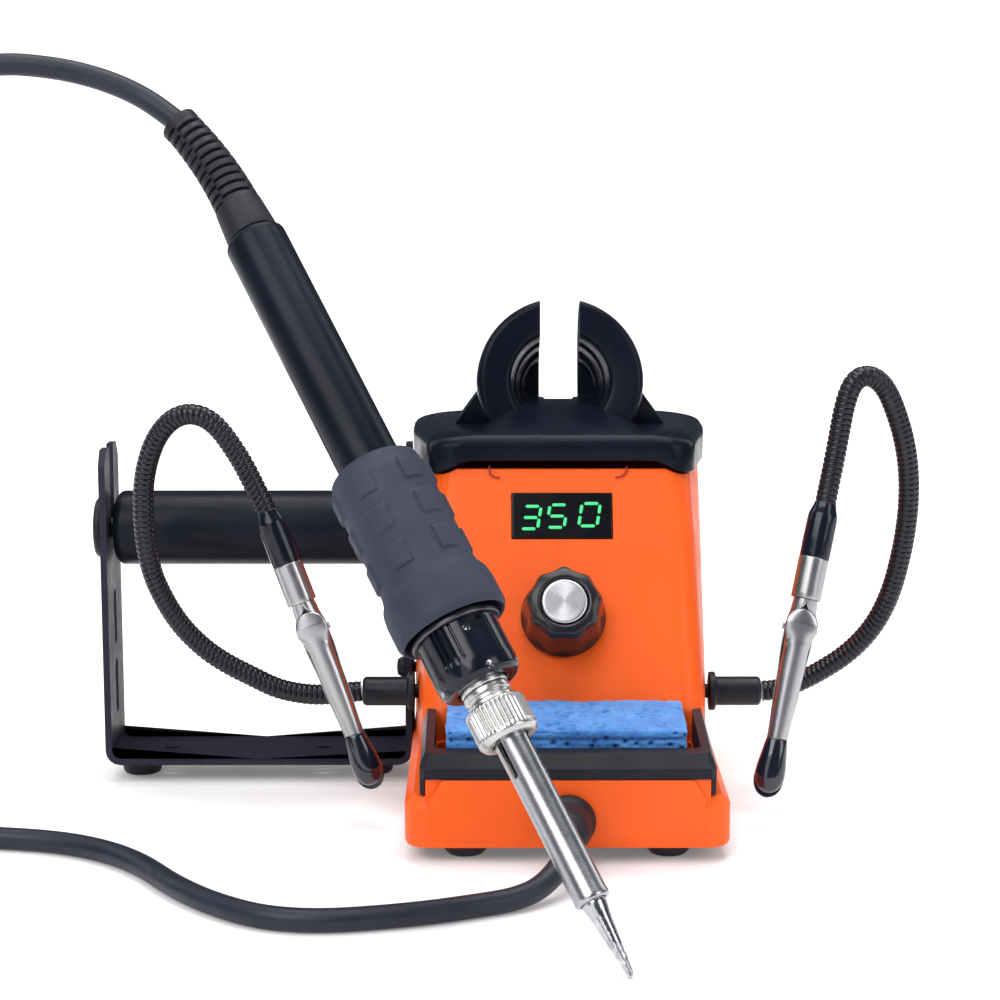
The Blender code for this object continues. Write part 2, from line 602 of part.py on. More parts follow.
bracket_screw = finish("bracket_screw", lathe([(0, -2.6), (2.2, -2.2), (2.9, -1.0), (2.9, 0), (0, 0)], 20), BLACK, 0.35, 0.6)
cut(bracket_screw, lathe([(0, -0.5), (1.5, -0.5), (1.5, 7.0), (1.0, 7.6), (0, 7.6)], 16), "UNION")
bracket_screw.matrix_world = Matrix.Translation(mm(xr - bt - 0.3, BRACKET_Y, 30.0)) @ Matrix.Rotation(math.pi / 2, 4, "Y")
for name, x in (("bracket_foot_outer", -117.0), ("bracket_foot_inner", -52.0)):
    foot = finish(name, lathe([(0, 0), (4.6, 0), (5.2, 0.5), (5.9, 4.1), (5.9, 4.7), (0, 4.7)], 20), BLACK, 0.75)
    foot.location = mm(x, BRACKET_Y, 0)

spool_roller = finish("spool_roller", lathe([(3.1, -39.4), (8.4, -39.4), (ROLLER_R, -37.6), (ROLLER_R, 38.2), (9.0, 39.4), (3.1, 39.4)], 32, closed=True), (0.02, 0.022, 0.035), 0.35)
roller_mid = (xl + bt + xr - bt) / 2
spool_roller.matrix_world = Matrix.Translation(mm(roller_mid, BRACKET_Y, ROLLER_Z)) @ Matrix.Rotation(math.pi / 2, 4, "Y")
spindle = lathe([(0, -44.9), (7.6, -44.9), (8.2, -44.3), (8.2, -42.9), (SPINDLE_R, -42.9), (SPINDLE_R, 41.9), (0, 41.9)], 24)
roller_spindle = finish("roller_spindle", spindle, BLACK, 0.4)
roller_spindle.matrix_world = Matrix.Translation(mm(roller_mid, BRACKET_Y, ROLLER_Z)) @ Matrix.Rotation(math.pi / 2, 4, "Y")

# ---------------------------------------------------------------- helping hands
NECKS = {
    "left": [(-53.95, 60, 29), (-58.5, 60, 28.6), (-64.9, 59.8, 28), (-70.5, 59.6, 28.5), (-76.9, 59.2, 30.1), (-82.6, 58.7, 33.1), (-89.6, 58.2, 36.9), (-94.5, 57.7, 40.3), (-98.1, 57.2, 43.7), (-101.1, 56.7, 47.1), (-103.4, 56.2, 50.5), (-105.3, 55.7, 53.9), (-106.8, 55.2, 57.3), (-108.2, 54.7, 60.6), (-109.7, 53.8, 67.3), (-110.4, 52.9, 74.4), (-110.4, 52, 81.3), (-109.9, 51.2, 88), (-108.6, 50.5, 93.4), (-106.6, 49.7, 98.6), (-104.5, 49.2, 101.8), (-101.2, 48.7, 104.9), (-96.8, 48, 106.1), (-92.6, 47.2, 104.9), (-89.2, 46.6, 101.9), (-87.2, 46.1, 99.3), (-85.5, 45.7, 96.8), (-83.8, 45.2, 94.2), (-82.4, 44.8, 91.7), (-81.1, 44.4, 89.1), (-79.8, 44, 86.5), (-78.3, 43.5, 83.5), (-76.8, 43, 80.4)],
    "right": [(53.95, 60, 29), (57.8, 60, 29.2), (61.8, 59.8, 30.6), (65.7, 59.5, 32.5), (70.4, 59, 35.3), (75.6, 58.4, 39), (79.7, 57.8, 43), (82.7, 57.2, 46.9), (84.9, 56.6, 50.9), (86.5, 56, 54.8), (87.7, 55.4, 58.7), (88.6, 54.8, 62.7), (89.3, 54.2, 66.6), (89.9, 53.6, 70.4), (90.3, 53, 74.3), (90.6, 52.4, 78.2), (90.7, 51.8, 82), (90.6, 51.2, 85.8), (90.3, 50.6, 89.6), (89.8, 50, 93.4), (89, 49.4, 97.2), (88, 48.8, 101), (86.7, 48.2, 104.7), (85.2, 47.6, 108.5), (83.4, 47, 112.2), (81, 46.5, 115.1), (77.8, 46, 116.5), (75.2, 45.6, 115.4), (73.7, 45.2, 112.9), (72.6, 45.1, 109.4), (71.8, 45, 105.5), (71.2, 44.9, 101.6), (70.6, 44.7, 98.1), (69.9, 44.3, 94.5), (69.2, 43.8, 90.9), (68.4, 43.1, 87.3), (67.4, 42, 82.6)],
}
ENDS = {"left": (-48.7, 33.0, 8.7), "right": (51.6, 24.5, 11.8)}
hands = {}
for side, sign in (("left", -1), ("right", 1)):
    ferrule = lathe([(0, -4.0), (1.9, -4.0), (1.9, 1.3), (5.2, 1.3), (5.2, 2.9), (3.9, 3.2), (3.9, 14.6), (3.2, 15.3), (0, 15.3)], 20)
    f = finish("hand_ferrule_" + side, ferrule, BLACK, 0.35)
    axis = Vector((sign, 0, 0))
    q = Vector((0, 0, 1)).rotation_difference(axis)
    f.matrix_world = Matrix.Translation(mm(sign * 38.3, HAND_Y, HAND_Z)) @ q.to_matrix().to_4x4()
    route = NECKS[side]
    points = smooth_route([mm(*p) for p in route], 46)
    gooseneck = tube("gooseneck_" + side, points, NECK_R, (0.02, 0.022, 0.03), 0.35, 2, 0.3)
    # sleeve, socket and clip share one axis, from the neck's end to the clip's end
    end = points[-1]
    run = (mm(*ENDS[side]) - end).normalized()
    clip = frame("clip_frame_" + side, end, run, Vector((1, 0, 0)))
    bpy.context.view_layer.update()
    sleeve = lathe([(0, 0.5), (2.9, 0.5), (3.9, 2.4), (4.0, 4.0), (4.0, 14.2), (0, 14.2)], 24)
    finish("hand_sleeve_" + side, sleeve, BLACK, 0.12, parent=clip)
    # local axes: Z runs down the clip, X is its width, Y its depth (front jaw toward the viewer)
    probe = clip.matrix_world.to_3x3() @ Vector((0, 1, 0))
    front = 1 if probe.y < 0 else -1
    hands[side] = (clip, front)
    socket = lathe([(0, 14.6), (3.75, 14.6), (3.9, 15.0), (3.9, 23.9), (3.2, 24.6), (0, 24.6)], 24)
    base = finish("clip_base_" + side, socket, STEEL, 0.3, 1.0, parent=clip)

    def jaw(z_half, inner_y, outer_y):
        rings = []
        for z, half, depth, *flare in z_half:
            a, b = inner_y, inner_y + (outer_y - inner_y) * depth
            if flare:
                a, b = a + math.copysign(flare[0], inner_y), b + math.copysign(flare[0], inner_y)
            lo, hi = sorted((a, b))
            if b > a:
                ring = [(-half, lo), (half, lo), (half, lo + (hi - lo) * 0.6), (half * 0.55, hi), (-half * 0.55, hi), (-half, lo + (hi - lo) * 0.6)]
            else:
                ring = [(-half * 0.55, lo), (half * 0.55, lo), (half, hi - (hi - lo) * 0.6), (half, hi), (-half, hi), (-half, hi - (hi - lo) * 0.6)]
            rings.append([Vector((x, y, z)) / 1000 for x, y in ring])
        return loft(rings)

    # back jaw carries the socket, front jaw turns on the pin
    cut(base, jaw([(23.0, 2.9, 1.0), (27.0, 3.6, 1.0), (34.0, 3.8, 1.0), (52.0, 2.9, 0.8), (74.0, 1.8, 0.5)], -front * 0.35, -front * 3.2), "UNION")
    jaw_obj = finish("clip_jaw_" + side, jaw([(27.6, 2.2, 0.35, 2.6), (29.0, 3.7, 0.5, 2.0), (31.4, 4.15, 0.9, 0.8), (34.4, 3.95, 1.1), (37.5, 3.3, 1.1), (52.0, 2.9, 0.85), (74.0, 1.8, 0.5)], front * 0.35, front * 3.4), STEEL, 0.3, 1.0, parent=clip)
    # pin across the two jaws, in a hole through both
    pin_z = 32.5
    for body in (base, jaw_obj):
        bm = lathe([(0, -8), (1.15, -8), (1.15, 8), (0, 8)], 12)
        bm.transform(clip.matrix_world @ Matrix.Translation((0, 0, pin_z / 1000)) @ Matrix.Rotation(math.pi / 2, 4, "Y"))
        bm.transform(clip.matrix_world.inverted())
        cut(body, bm)
    pin = lathe([(0, -4.5), (0.8, -4.5), (0.8, 4.5), (0, 4.5)], 12)
    pin.transform(Matrix.Translation((0, 0, pin_z / 1000)) @ Matrix.Rotation(math.pi / 2, 4, "Y"))
    finish("clip_pin_" + side, pin, STEEL, 0.3, 1.0, parent=clip)
    for which, sgn, top in (("back", -front, 62.5), ("front", front, 61.0)):
        bm = bmesh.new()
        rings = []
        for z, half, depth in ((top, 3.15, 3.2), (top + 2, 3.4, 3.5), (70.0, 3.95, 3.6), (74.0, 3.5, 3.0), (76.6, 1.6, 1.2)):
            ring = []
            for i in range(14):
                a = math.tau * i / 14
                y = math.sin(a) * depth
                ring.append(Vector((math.cos(a) * half, sgn * (0.2 + max(y, 0)), z)) / 1000 if y > 1e-9 else Vector((math.cos(a) * half, sgn * 0.2, z)) / 1000)
            rings.append(ring[:8])
        bm.free()
        boot_jaw = finish(f"clip_boot_{which}_{side}", loft(rings), BLACK, 0.25, parent=clip)
        hollow = jaw([(top - 3, 2.95, 1.0), (66.5, 2.5, 0.9), (74.4, 2.1, 0.66)], -sgn * 0.6, sgn * 3.3)
        cut(boot_jaw, hollow)

# ---------------------------------------------------------------- the iron, along its own axis from the tip
iron = frame("iron_frame", mm(*TIP), TAIL_DIR, (1, 0, 0))
bpy.context.view_layer.update()
tail_dir = Vector(TAIL_DIR).normalized()

tip = finish(
    "tip",
    lathe([(0, 0), (0.55, 0.1), (0.8, 0.8), (2.3, 14.6), (2.85, 17.6), (2.85, 46.9), (2.0, 46.9), (2.0, 26.0), (0, 24.0)], 24),
    (0.55, 0.55, 0.56),
    0.35,
    1.0,
    parent=iron,
)
heater = finish("heater", lathe([(0, 25.5), (1.6, 26.5), (1.6, 76.5), (0, 76.5)], 16), (0.8, 0.78, 0.72), 0.6, parent=iron)
sheath = finish(
    "tip_sheath",
    lathe([(3.15, 18.3), (3.85, 18.3), (4.15, 18.9), (4.15, 19.6), (4.03, 20.3), (4.03, 60.7), (5.65, 60.7), (5.65, 61.8), (3.15, 61.8)], 28, closed=True),
    STEEL,
    0.25,
    1.0,
    parent=iron,
)
nut = finish(
    "sheath_nut",
    lathe([(4.4, 59.1), (6.5, 59.1), (7.2, 60.0), (7.2, 67.7), (6.8, 68.1), (6.0, 68.1), (6.0, 60.4), (4.4, 60.4)], 32, closed=True),
    STEEL,
    0.25,
    1.0,
    parent=iron,
)
neck = finish("heater_neck", lathe([(2.2, 62.2), (5.65, 62.2), (5.65, 83.6), (2.2, 83.6)], 24, closed=True), STEEL, 0.3, 1.0, parent=iron)
front_collar = finish(
    "front_collar",
    lathe([(6.0, 73.3), (8.6, 73.3), (9.6, 74.4), (9.95, 77.0), (9.95, 97.7), (6.0, 97.7)], 32, closed=True),
    (0.012, 0.014, 0.02),
    0.2,
    parent=iron,
)
grip = finish(
    "grip",
    lathe(
        [
            (10.3, 88.3),
            (12.7, 88.3),
            (13.6, 89.6),
            (13.6, 94.8),
            (12.4, 101.5),
            (11.7, 104.9),
            (11.8, 128.0),
            (10.9, 132.2),
            (9.15, 133.5),
            (8.0, 133.5),
            (8.0, 98.1),
            (10.3, 98.1),
        ],
        32,
        closed=True,
    ),
    (0.035, 0.038, 0.055),
    0.8,
    parent=iron,
)
handle_tube = finish(
    "handle_tube",
    lathe([(6.2, 98.8), (7.6, 98.8), (7.65, 200.7), (6.9, 201.8), (6.2, 201.8)], 32, closed=True),
    (0.012, 0.014, 0.025),
    0.15,
    parent=iron,
)

# strain relief: collar, then ribs on a sleeve that already bends the way its cord goes
to_local = iron.matrix_world.to_3x3().inverted()
sideways = Vector(CORD_SIDE) - tail_dir * tail_dir.dot(Vector(CORD_SIDE))
sideways = (to_local @ sideways).normalized()


def bent(point):
    """A point of the straight relief, in the iron's frame and metres, moved onto its bent axis."""
    over = point.z - BEND_FROM / 1000
    if over <= 0:
        return point
    a, r = over * 1000 / BEND_R, BEND_R / 1000
    z = Vector((0, 0, 1))
    flat = Vector((point.x, point.y, 0))
    along = flat.dot(sideways)
    middle = z * (BEND_FROM / 1000 + r * math.sin(a)) + sideways * (r * (1 - math.cos(a)))
    return middle + (flat - sideways * along) + (sideways * math.cos(a) - z * math.sin(a)) * along


ribs = [(0, 197.6), (5.8, 197.6), (5.8, 202.2), (6.5, 202.2), (6.5, 203.7), (5.9, 211.2)]
for i in range(10):
    z = 212.2 + i * 2.6
    r = 5.75 - 0.1 * i
    ribs += [(r - 0.7, z), (r, z + 0.5), (r, z + 1.5), (r - 0.7, z + 2.0)]
ribs += [(4.9, 238.4), (4.9, 240.2), (0, 240.2)]
relief_bm = lathe(ribs, 24)
for vert in relief_bm.verts:
    vert.co = bent(vert.co)
strain_relief = finish("strain_relief", relief_bm, BLACK, 0.55, parent=iron)

# ---------------------------------------------------------------- the iron's cord
boot_end = boot_at + boot_dir * 0.0166
relief_end = iron.matrix_world @ bent(Vector((0, 0, 0.2413)))
relief_dir = (iron.matrix_world @ bent(Vector((0, 0, 0.2433))) - relief_end).normalized()
LOWER = [(-2.6, -24.4, 7.4), (-7.4, -30.6, 4.2), (-13.6, -35.2, 3.0), (-21.5, -38.9, 2.85), (-31.8, -43.4, 2.85), (-45.1, -47.4, 2.85), (-58.6, -49.4, 2.85), (-70.5, -47.0, 2.85), (-82.3, -38.4, 2.85), (-92.9, -26.2, 2.85), (-105.1, -7.8, 2.85), (-114.5, 1.6, 2.85), (-126.0, 8.4, 2.85), (-142.6, 12.6, 2.85), (-165.0, 14.6, 2.85), (-193.8, 15.0, 2.85)]
UPPER = [(-178.7, -2.0, 12.2), (-178.6, 6.5, 17.4), (-178.3, 14.5, 27.5), (-178.0, 21.5, 44.0), (-177.5, 27.5, 68.0), (-177.0, 32.0, 97.0), (-176.0, 35.5, 125.0), (-174.0, 38.0, 148.0), (-171.0, 39.8, 165.0), (-166.5, 40.9, 177.5), (-160.0, 41.7, 187.0), (-152.0, 42.1, 193.0), (-142.2, 42.2, 195.1), (-132.2, 42.1, 194.6), (-122.1, 41.8, 192.9), (-112.1, 41.1, 189.7), (-105.0, 40.0, 186.2)]
lower = smooth_route([boot_end, boot_end + boot_dir * 0.005] + [mm(*p) for p in LOWER], 40)
cord_lower = tube("cord_lower", lower, CORD_R, BLACK, 0.5)
upper = smooth_route([mm(*p) for p in UPPER] + [relief_end], 46)
cord_upper = tube("cord_upper", upper, CORD_R, BLACK, 0.5)
coil_profile = [(27.6, 1.4), (29.0, 0.05), (37.6, 0.05), (38.9, 1.4), (38.9, 4.6), (36.6, 8.6), (34.8, 10.6), (31.4, 10.6), (29.6, 8.6), (27.6, 4.6)]
cord_coil = finish("cord_coil", lathe(coil_profile, 40, closed=True), BLACK, 0.5)
cord_coil.location = mm(COIL[0], COIL[1], 0)
# strap over the coil, open underneath
a_in, a_out = (26.9, 39.5), (26.3, 40.1)
strap = [(a_out[0], 0.1), (a_out[0], 5.6), (29.4, 11.5), (37.0, 11.5), (a_out[1], 5.6), (a_out[1], 0.1), (a_in[1], 0.1), (a_in[1], 5.4), (36.6, 10.95), (29.8, 10.95), (a_in[0], 5.4), (a_in[0], 0.1)]
cord_tie = finish("cord_tie", prism([(COIL[0] - r, z) for r, z in strap], COIL[1] - 3.5, COIL[1] + 3.5, "y"), (0.02, 0.02, 0.02), 0.7)

bpy.context.view_layer.update()
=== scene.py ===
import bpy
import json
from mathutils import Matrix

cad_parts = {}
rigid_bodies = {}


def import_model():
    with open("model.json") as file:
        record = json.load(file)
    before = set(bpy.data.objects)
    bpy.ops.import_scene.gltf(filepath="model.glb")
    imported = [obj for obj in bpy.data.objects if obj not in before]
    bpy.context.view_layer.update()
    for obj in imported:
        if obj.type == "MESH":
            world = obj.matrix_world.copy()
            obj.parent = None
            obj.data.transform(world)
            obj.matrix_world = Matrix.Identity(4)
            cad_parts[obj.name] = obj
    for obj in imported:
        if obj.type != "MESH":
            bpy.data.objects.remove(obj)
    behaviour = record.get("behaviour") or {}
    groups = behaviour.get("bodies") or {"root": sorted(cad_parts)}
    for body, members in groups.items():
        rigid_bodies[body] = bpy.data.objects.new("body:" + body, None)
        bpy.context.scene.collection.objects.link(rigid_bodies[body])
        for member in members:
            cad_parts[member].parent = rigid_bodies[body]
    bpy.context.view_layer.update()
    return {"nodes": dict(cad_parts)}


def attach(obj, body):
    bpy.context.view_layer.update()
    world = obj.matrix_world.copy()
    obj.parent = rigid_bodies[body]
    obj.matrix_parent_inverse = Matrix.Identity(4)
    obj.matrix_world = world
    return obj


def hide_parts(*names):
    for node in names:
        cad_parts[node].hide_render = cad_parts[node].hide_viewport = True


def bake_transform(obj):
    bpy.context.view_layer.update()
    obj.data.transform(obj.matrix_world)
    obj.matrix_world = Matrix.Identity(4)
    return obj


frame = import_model()

import json
import math

import bmesh
import bpy
from mathutils import Matrix, Vector, noise

TAU = math.tau
for extra in list(bpy.data.objects):
    if extra.type in ("LIGHT", "CAMERA") or extra.name == "Cube":
        bpy.data.objects.remove(extra, do_unlink=True)


def mm(x, y, z):
    """A point given in millimetres from the middle of the base's front edge, in the model's frame."""
    return Vector(((x + 17.14) / 1000, (y - 25.63) / 1000, z / 1000))


def frame_at(at, z_axis, x_hint=(1, 0, 0)):
    z = Vector(z_axis).normalized()
    x = Vector(x_hint)
    x = (x - z * x.dot(z)).normalized()
    return Matrix.Translation(at) @ Matrix((x, z.cross(x), z)).transposed().to_4x4()


def smoothstep(a, b, x):
    t = min(max((x - a) / (b - a), 0.0), 1.0)
    return t * t * (3 - 2 * t)


# ------------------------------------------------------------------ camera
camera = bpy.data.cameras.new("camera")
camera.lens, camera.sensor_width, camera.clip_start, camera.clip_end = 87.05, 36, 0.01, 20
camera_obj = bpy.data.objects.new("camera", camera)
camera_obj.location = (-0.00116, -0.60023, 0.1874)
camera_obj.rotation_euler = (math.radians(80.5), 0, math.radians(-0.15))
bpy.context.scene.collection.objects.link(camera_obj)
bpy.context.scene.camera = camera_obj


# ------------------------------------------------------------------ materials
class Shader:
    """A Principled material with small helpers to wire noise into it."""

    def __init__(self, name, colour, roughness, metallic=0.0, **uniform):
        self.m = bpy.data.materials.new(name)
        self.m.use_nodes = True
        self.t = self.m.node_tree
        self.n, self.l = self.t.nodes, self.t.links
        self.b = self.n["Principled BSDF"]
        self.b.inputs["Base Color"].default_value = (*colour, 1)
        self.b.inputs["Roughness"].default_value = roughness
        self.b.inputs["Metallic"].default_value = metallic
        for key, value in uniform.items():
            self.b.inputs[key.replace("_", " ").title().replace("Ior", "IOR")].default_value = value
        self.coord = self.n.new("ShaderNodeTexCoord")
        self.normal = None

    def mapped(self, scale=(1, 1, 1), rotation=(0, 0, 0)):
        node = self.n.new("ShaderNodeMapping")
        node.inputs["Scale"].default_value = scale
        node.inputs["Rotation"].default_value = rotation
        self.l.new(self.coord.outputs["Object"], node.inputs["Vector"])
        return node.outputs["Vector"]

    def noise(self, scale, detail=4.0, rough=0.55, stretch=(1, 1, 1), rotation=(0, 0, 0)):
        node = self.n.new("ShaderNodeTexNoise")
        node.inputs["Scale"].default_value = scale
        node.inputs["Detail"].default_value = detail
        node.inputs["Roughness"].default_value = rough
        self.l.new(self.mapped(stretch, rotation), node.inputs["Vector"])
        return node.outputs["Fac"]

    def cells(self, scale, feature="F1", stretch=(1, 1, 1)):
        node = self.n.new("ShaderNodeTexVoronoi")
        node.feature = feature
        node.inputs["Scale"].default_value = scale
        self.l.new(self.mapped(stretch), node.inputs["Vector"])
        return node.outputs["Distance"]

    def ramp(self, value, low, high, a=0.0, b=1.0):
        node = self.n.new("ShaderNodeMapRange")
        for key, v in zip(("From Min", "From Max", "To Min", "To Max"), (low, high, a, b)):
            node.inputs[key].default_value = v
        self.l.new(value, node.inputs["Value"])
        return node.outputs["Result"]

    def math(self, op, a, b=0.0):
        node = self.n.new("ShaderNodeMath")
        node.operation = op
        for socket, v in zip(node.inputs, (a, b)):
            if isinstance(v, (int, float)):
                socket.default_value = v
            else:
                self.l.new(v, socket)
        return node.outputs[0]

    def mix(self, factor, a, b):
        node = self.n.new("ShaderNodeMix")
        node.data_type = "RGBA"
        self.l.new(factor, node.inputs["Factor"])
        for socket, v in zip((node.inputs["A"], node.inputs["B"]), (a, b)):
            pass
        colour_in = [s for s in node.inputs if s.type == "RGBA"]
        for socket, v in zip(colour_in, (a, b)):
            if isinstance(v, tuple):
                socket.default_value = (*v, 1)
            else:
                self.l.new(v, socket)
        return [s for s in node.outputs if s.type == "RGBA"][0]

    def colour(self, output):
        self.l.new(output, self.b.inputs["Base Color"])

    def rough(self, output):
        self.l.new(output, self.b.inputs["Roughness"])

    def bump(self, height, distance, strength=1.0):
        node = self.n.new("ShaderNodeBump")
        node.inputs["Distance"].default_value = distance
        node.inputs["Strength"].default_value = strength
        self.l.new(height, node.inputs["Height"])
        if self.normal is not None:
            self.l.new(self.normal, node.inputs["Normal"])
        self.normal = node.outputs["Normal"]
        self.l.new(self.normal, self.b.inputs["Normal"])


def moulded(name, colour, roughness, tint=0.12, grain=900.0, depth=0.00002, wear=0.0, **uniform):
    """Moulded plastic: slow colour drift, uneven gloss, fine surface grain and, with wear, paler edges."""
    s = Shader(name, colour, roughness, **uniform)
    low = tuple(c * (1 - tint) for c in colour)
    high = tuple(min(c * (1 + tint) + 0.002, 1) for c in colour)
    out = s.mix(s.ramp(s.noise(38.0, 5.0), 0.3, 0.7), low, high)
    specks = s.ramp(s.noise(2600.0, 2.0), 0.68, 0.80)
    out = s.mix(s.math("MULTIPLY", specks, 0.08), out, tuple(min(c * 1.6 + 0.01, 1) for c in colour))
    if wear:
        geometry = s.n.new("ShaderNodeNewGeometry")
        edge = s.ramp(geometry.outputs["Pointiness"], 0.52, 0.62)
        out = s.mix(s.math("MULTIPLY", edge, wear), out, tuple(min(c * 1.9 + 0.03, 1) for c in colour))
    s.colour(out)
    s.rough(s.ramp(s.noise(120.0, 6.0), 0.25, 0.75, roughness * 0.8, min(roughness * 1.25 + 0.02, 1)))
    s.bump(s.noise(grain, 3.0), depth)
    s.bump(s.noise(55.0, 2.0), 0.00012, 0.5)
    return s.m


def metal(name, colour, roughness, axis=None, lines=1400.0, depth=0.000012, tint=0.1, **uniform):
    """Metal with turning or drawing marks along one axis, small stains and uneven polish."""
    s = Shader(name, colour, roughness, 1.0, **uniform)
    low = tuple(c * (1 - tint) for c in colour)
    high = tuple(min(c * (1 + tint * 0.5), 1) for c in colour)
    s.colour(s.mix(s.ramp(s.noise(90.0, 6.0), 0.3, 0.72), low, high))
    s.rough(s.ramp(s.noise(260.0, 5.0), 0.3, 0.7, roughness * 0.92, roughness * 1.10))
    if axis is not None:
        dot = s.n.new("ShaderNodeVectorMath")
        dot.operation = "DOT_PRODUCT"
        dot.inputs[1].default_value = axis
        s.l.new(s.coord.outputs["Object"], dot.inputs[0])
        wave = s.n.new("ShaderNodeTexNoise")
        wave.noise_dimensions = "1D"
        wave.inputs["Scale"].default_value = lines
        wave.inputs["Detail"].default_value = 3.0
        s.l.new(dot.outputs["Value"], wave.inputs["W"])
        s.bump(wave.outputs["Fac"], depth)
    s.bump(s.noise(700.0, 4.0), 0.000012, 0.6)
    return s.m


ORANGE = (0.93, 0.112, 0.006)
INK = (0.0050, 0.0068, 0.0145)

orange_m = moulded("orange_abs", ORANGE, 0.40, tint=0.05, grain=1500.0, depth=0.00003, specular_ior_level=0.28)
gloss_m = moulded("black_gloss", INK, 0.16, specular_ior_level=0.3, tint=0.2, grain=500.0, depth=0.000004, wear=0.15, coat_weight=0.12, coat_roughness=0.08)
cap_m = moulded("cap_plastic", INK, 0.26, specular_ior_level=0.10, tint=0.2, grain=500.0, depth=0.000006, wear=0.1)
knob_m = moulded("knob_phenolic", (0.014, 0.012, 0.015), 0.24, specular_ior_level=0.35, tint=0.3, grain=420.0, depth=0.00003, wear=0.4, coat_weight=0.2, coat_roughness=0.1)
handle_m = moulded("handle_lacquer", INK, 0.30, specular_ior_level=0.14, tint=0.2, grain=700.0, depth=0.00001, wear=0.2)
satin_m = moulded("black_satin", (0.0065, 0.008, 0.0145), 0.38, specular_ior_level=0.28, tint=0.2, grain=1700.0, depth=0.00003, wear=0.35)
roller_m = moulded("roller_tube", (0.0065, 0.008, 0.0145), 0.34, specular_ior_level=0.12, tint=0.2, grain=1500.0, depth=0.00003, wear=0.3)
tray_m = moulded("tray_plastic", (0.0085, 0.0092, 0.0150), 0.38, specular_ior_level=0.18, tint=0.15, grain=2100.0, depth=0.00004, wear=0.4)
rubber_m = moulded("black_rubber", (0.008, 0.0092, 0.0155), 0.50, specular_ior_level=0.35, tint=0.25, grain=1300.0, depth=0.00004, wear=0.3)
cord_m = moulded("cord_jacket", (0.0105, 0.0125, 0.026), 0.42, specular_ior_level=0.35, tint=0.2, grain=650.0, depth=0.00005)
grip_m = moulded("grip_rubber", (0.027, 0.033, 0.058), 0.62, specular_ior_level=0.35, tint=0.14, grain=2300.0, depth=0.00005, wear=0.45)
vinyl_m = moulded("boot_vinyl", (0.006, 0.008, 0.018), 0.12, tint=0.2, grain=260.0, depth=0.00003, coat_weight=0.5, coat_roughness=0.05)
powder_m = moulded("powder_coat", (0.0125, 0.0125, 0.026), 0.46, specular_ior_level=0.16, tint=0.12, grain=1150.0, depth=0.00009, wear=0.35)
neck_m = moulded("neck_coating", (0.006, 0.007, 0.012), 0.24, specular_ior_level=0.35, tint=0.3, grain=1200.0, depth=0.00002, wear=0.6)
module_m = moulded("display_module", (0.02, 0.02, 0.022), 0.5, grain=1200.0)
board_m = moulded("circuit_board", (0.015, 0.12, 0.045), 0.4, grain=800.0)
ceramic_m = moulded("ceramic", (0.74, 0.71, 0.64), 0.6, tint=0.06, grain=900.0)
copper_m = moulded("winding", (0.42, 0.17, 0.04), 0.4, grain=1500.0, depth=0.0001)
lamination_m = metal("lamination", (0.30, 0.30, 0.32), 0.5)
pot_m = metal("potentiometer", (0.5, 0.5, 0.48), 0.35)
print_m = moulded("panel_print", (0.26, 0.012, 0.006), 0.45, tint=0.1)
tick_m = moulded("knob_tick", (0.82, 0.83, 0.84), 0.35, tint=0.05)
dark_m = moulded("inside_dark", (0.004, 0.004, 0.005), 0.7)

# ------------------------------------------------------------------ shapes, in millimetres
def soft(profile, radius=0.3, closed=False, steps=2):
    """The profile with each corner rounded."""
    out = []
    n = len(profile)
    for i in range(n):
        b = Vector(profile[i])
        if not closed and i in (0, n - 1):
            out.append(tuple(b))
            continue
        a, c = Vector(profile[i - 1]), Vector(profile[(i + 1) % n])
        u, v = a - b, c - b
        if u.length < 1e-6 or v.length < 1e-6 or u.angle(v) > math.radians(166):
            out.append(tuple(b))
            continue
        t = min(radius, u.length * 0.42, v.length * 0.42)
        p0, p1 = b + u.normalized() * t, b + v.normalized() * t
        for k in range(steps + 1):
            s = k / steps
            out.append(tuple(p0 * (1 - s) ** 2 + b * (2 * s * (1 - s)) + p1 * s * s))
    return out


def dense(profile, step, low=-1e9, high=1e9):
    """The profile with long runs between two heights divided into steps."""
    out = [profile[0]]
    for a, b in zip(profile, profile[1:]):
        run = math.dist(a, b)
        n = max(int(math.ceil(run / step)), 1) if max(a[1], b[1]) > low and min(a[1], b[1]) < high else 1
        for k in range(1, n + 1):
            out.append((a[0] + (b[0] - a[0]) * k / n, a[1] + (b[1] - a[1]) * k / n))
    return out


def lathe(profile, segments=96, shift=None, closed=False):
    verts, faces, rows = [], [], []
    for r, z in profile:
        if r < 1e-6:
            verts.append((0, 0, z / 1000))
            rows.append([len(verts) - 1] * segments)
            continue
        row = []
        for i in range(segments):
            a = TAU * i / segments
            dr, dz = shift(r, z, a) if shift else (0.0, 0.0)
            q = (r + dr) / 1000
            verts.append((q * math.cos(a), q * math.sin(a), (z + dz) / 1000))
            row.append(len(verts) - 1)
        rows.append(row)
    pairs = list(zip(rows, rows[1:])) + ([(rows[-1], rows[0])] if closed else [])
    for a, b in pairs:
        for i in range(segments):
            j = (i + 1) % segments
            face = []
            for v in (a[i], a[j], b[j], b[i]):
                if v not in face:
                    face.append(v)
            if len(face) > 2:
                faces.append(face)
    return verts, faces


def loft(rings, caps=True):
    """Closed or open body through rings of points in metres."""
    verts = [tuple(p) for ring in rings for p in ring]
    n = len(rings[0])
    faces = []
    for k in range(len(rings) - 1):
        for i in range(n):
            j = (i + 1) % n
            faces.append([k * n + i, k * n + j, (k + 1) * n + j, (k + 1) * n + i])
    if caps:
        faces.append(list(range(n))[::-1])
        faces.append([(len(rings) - 1) * n + i for i in range(n)])
    return verts, faces


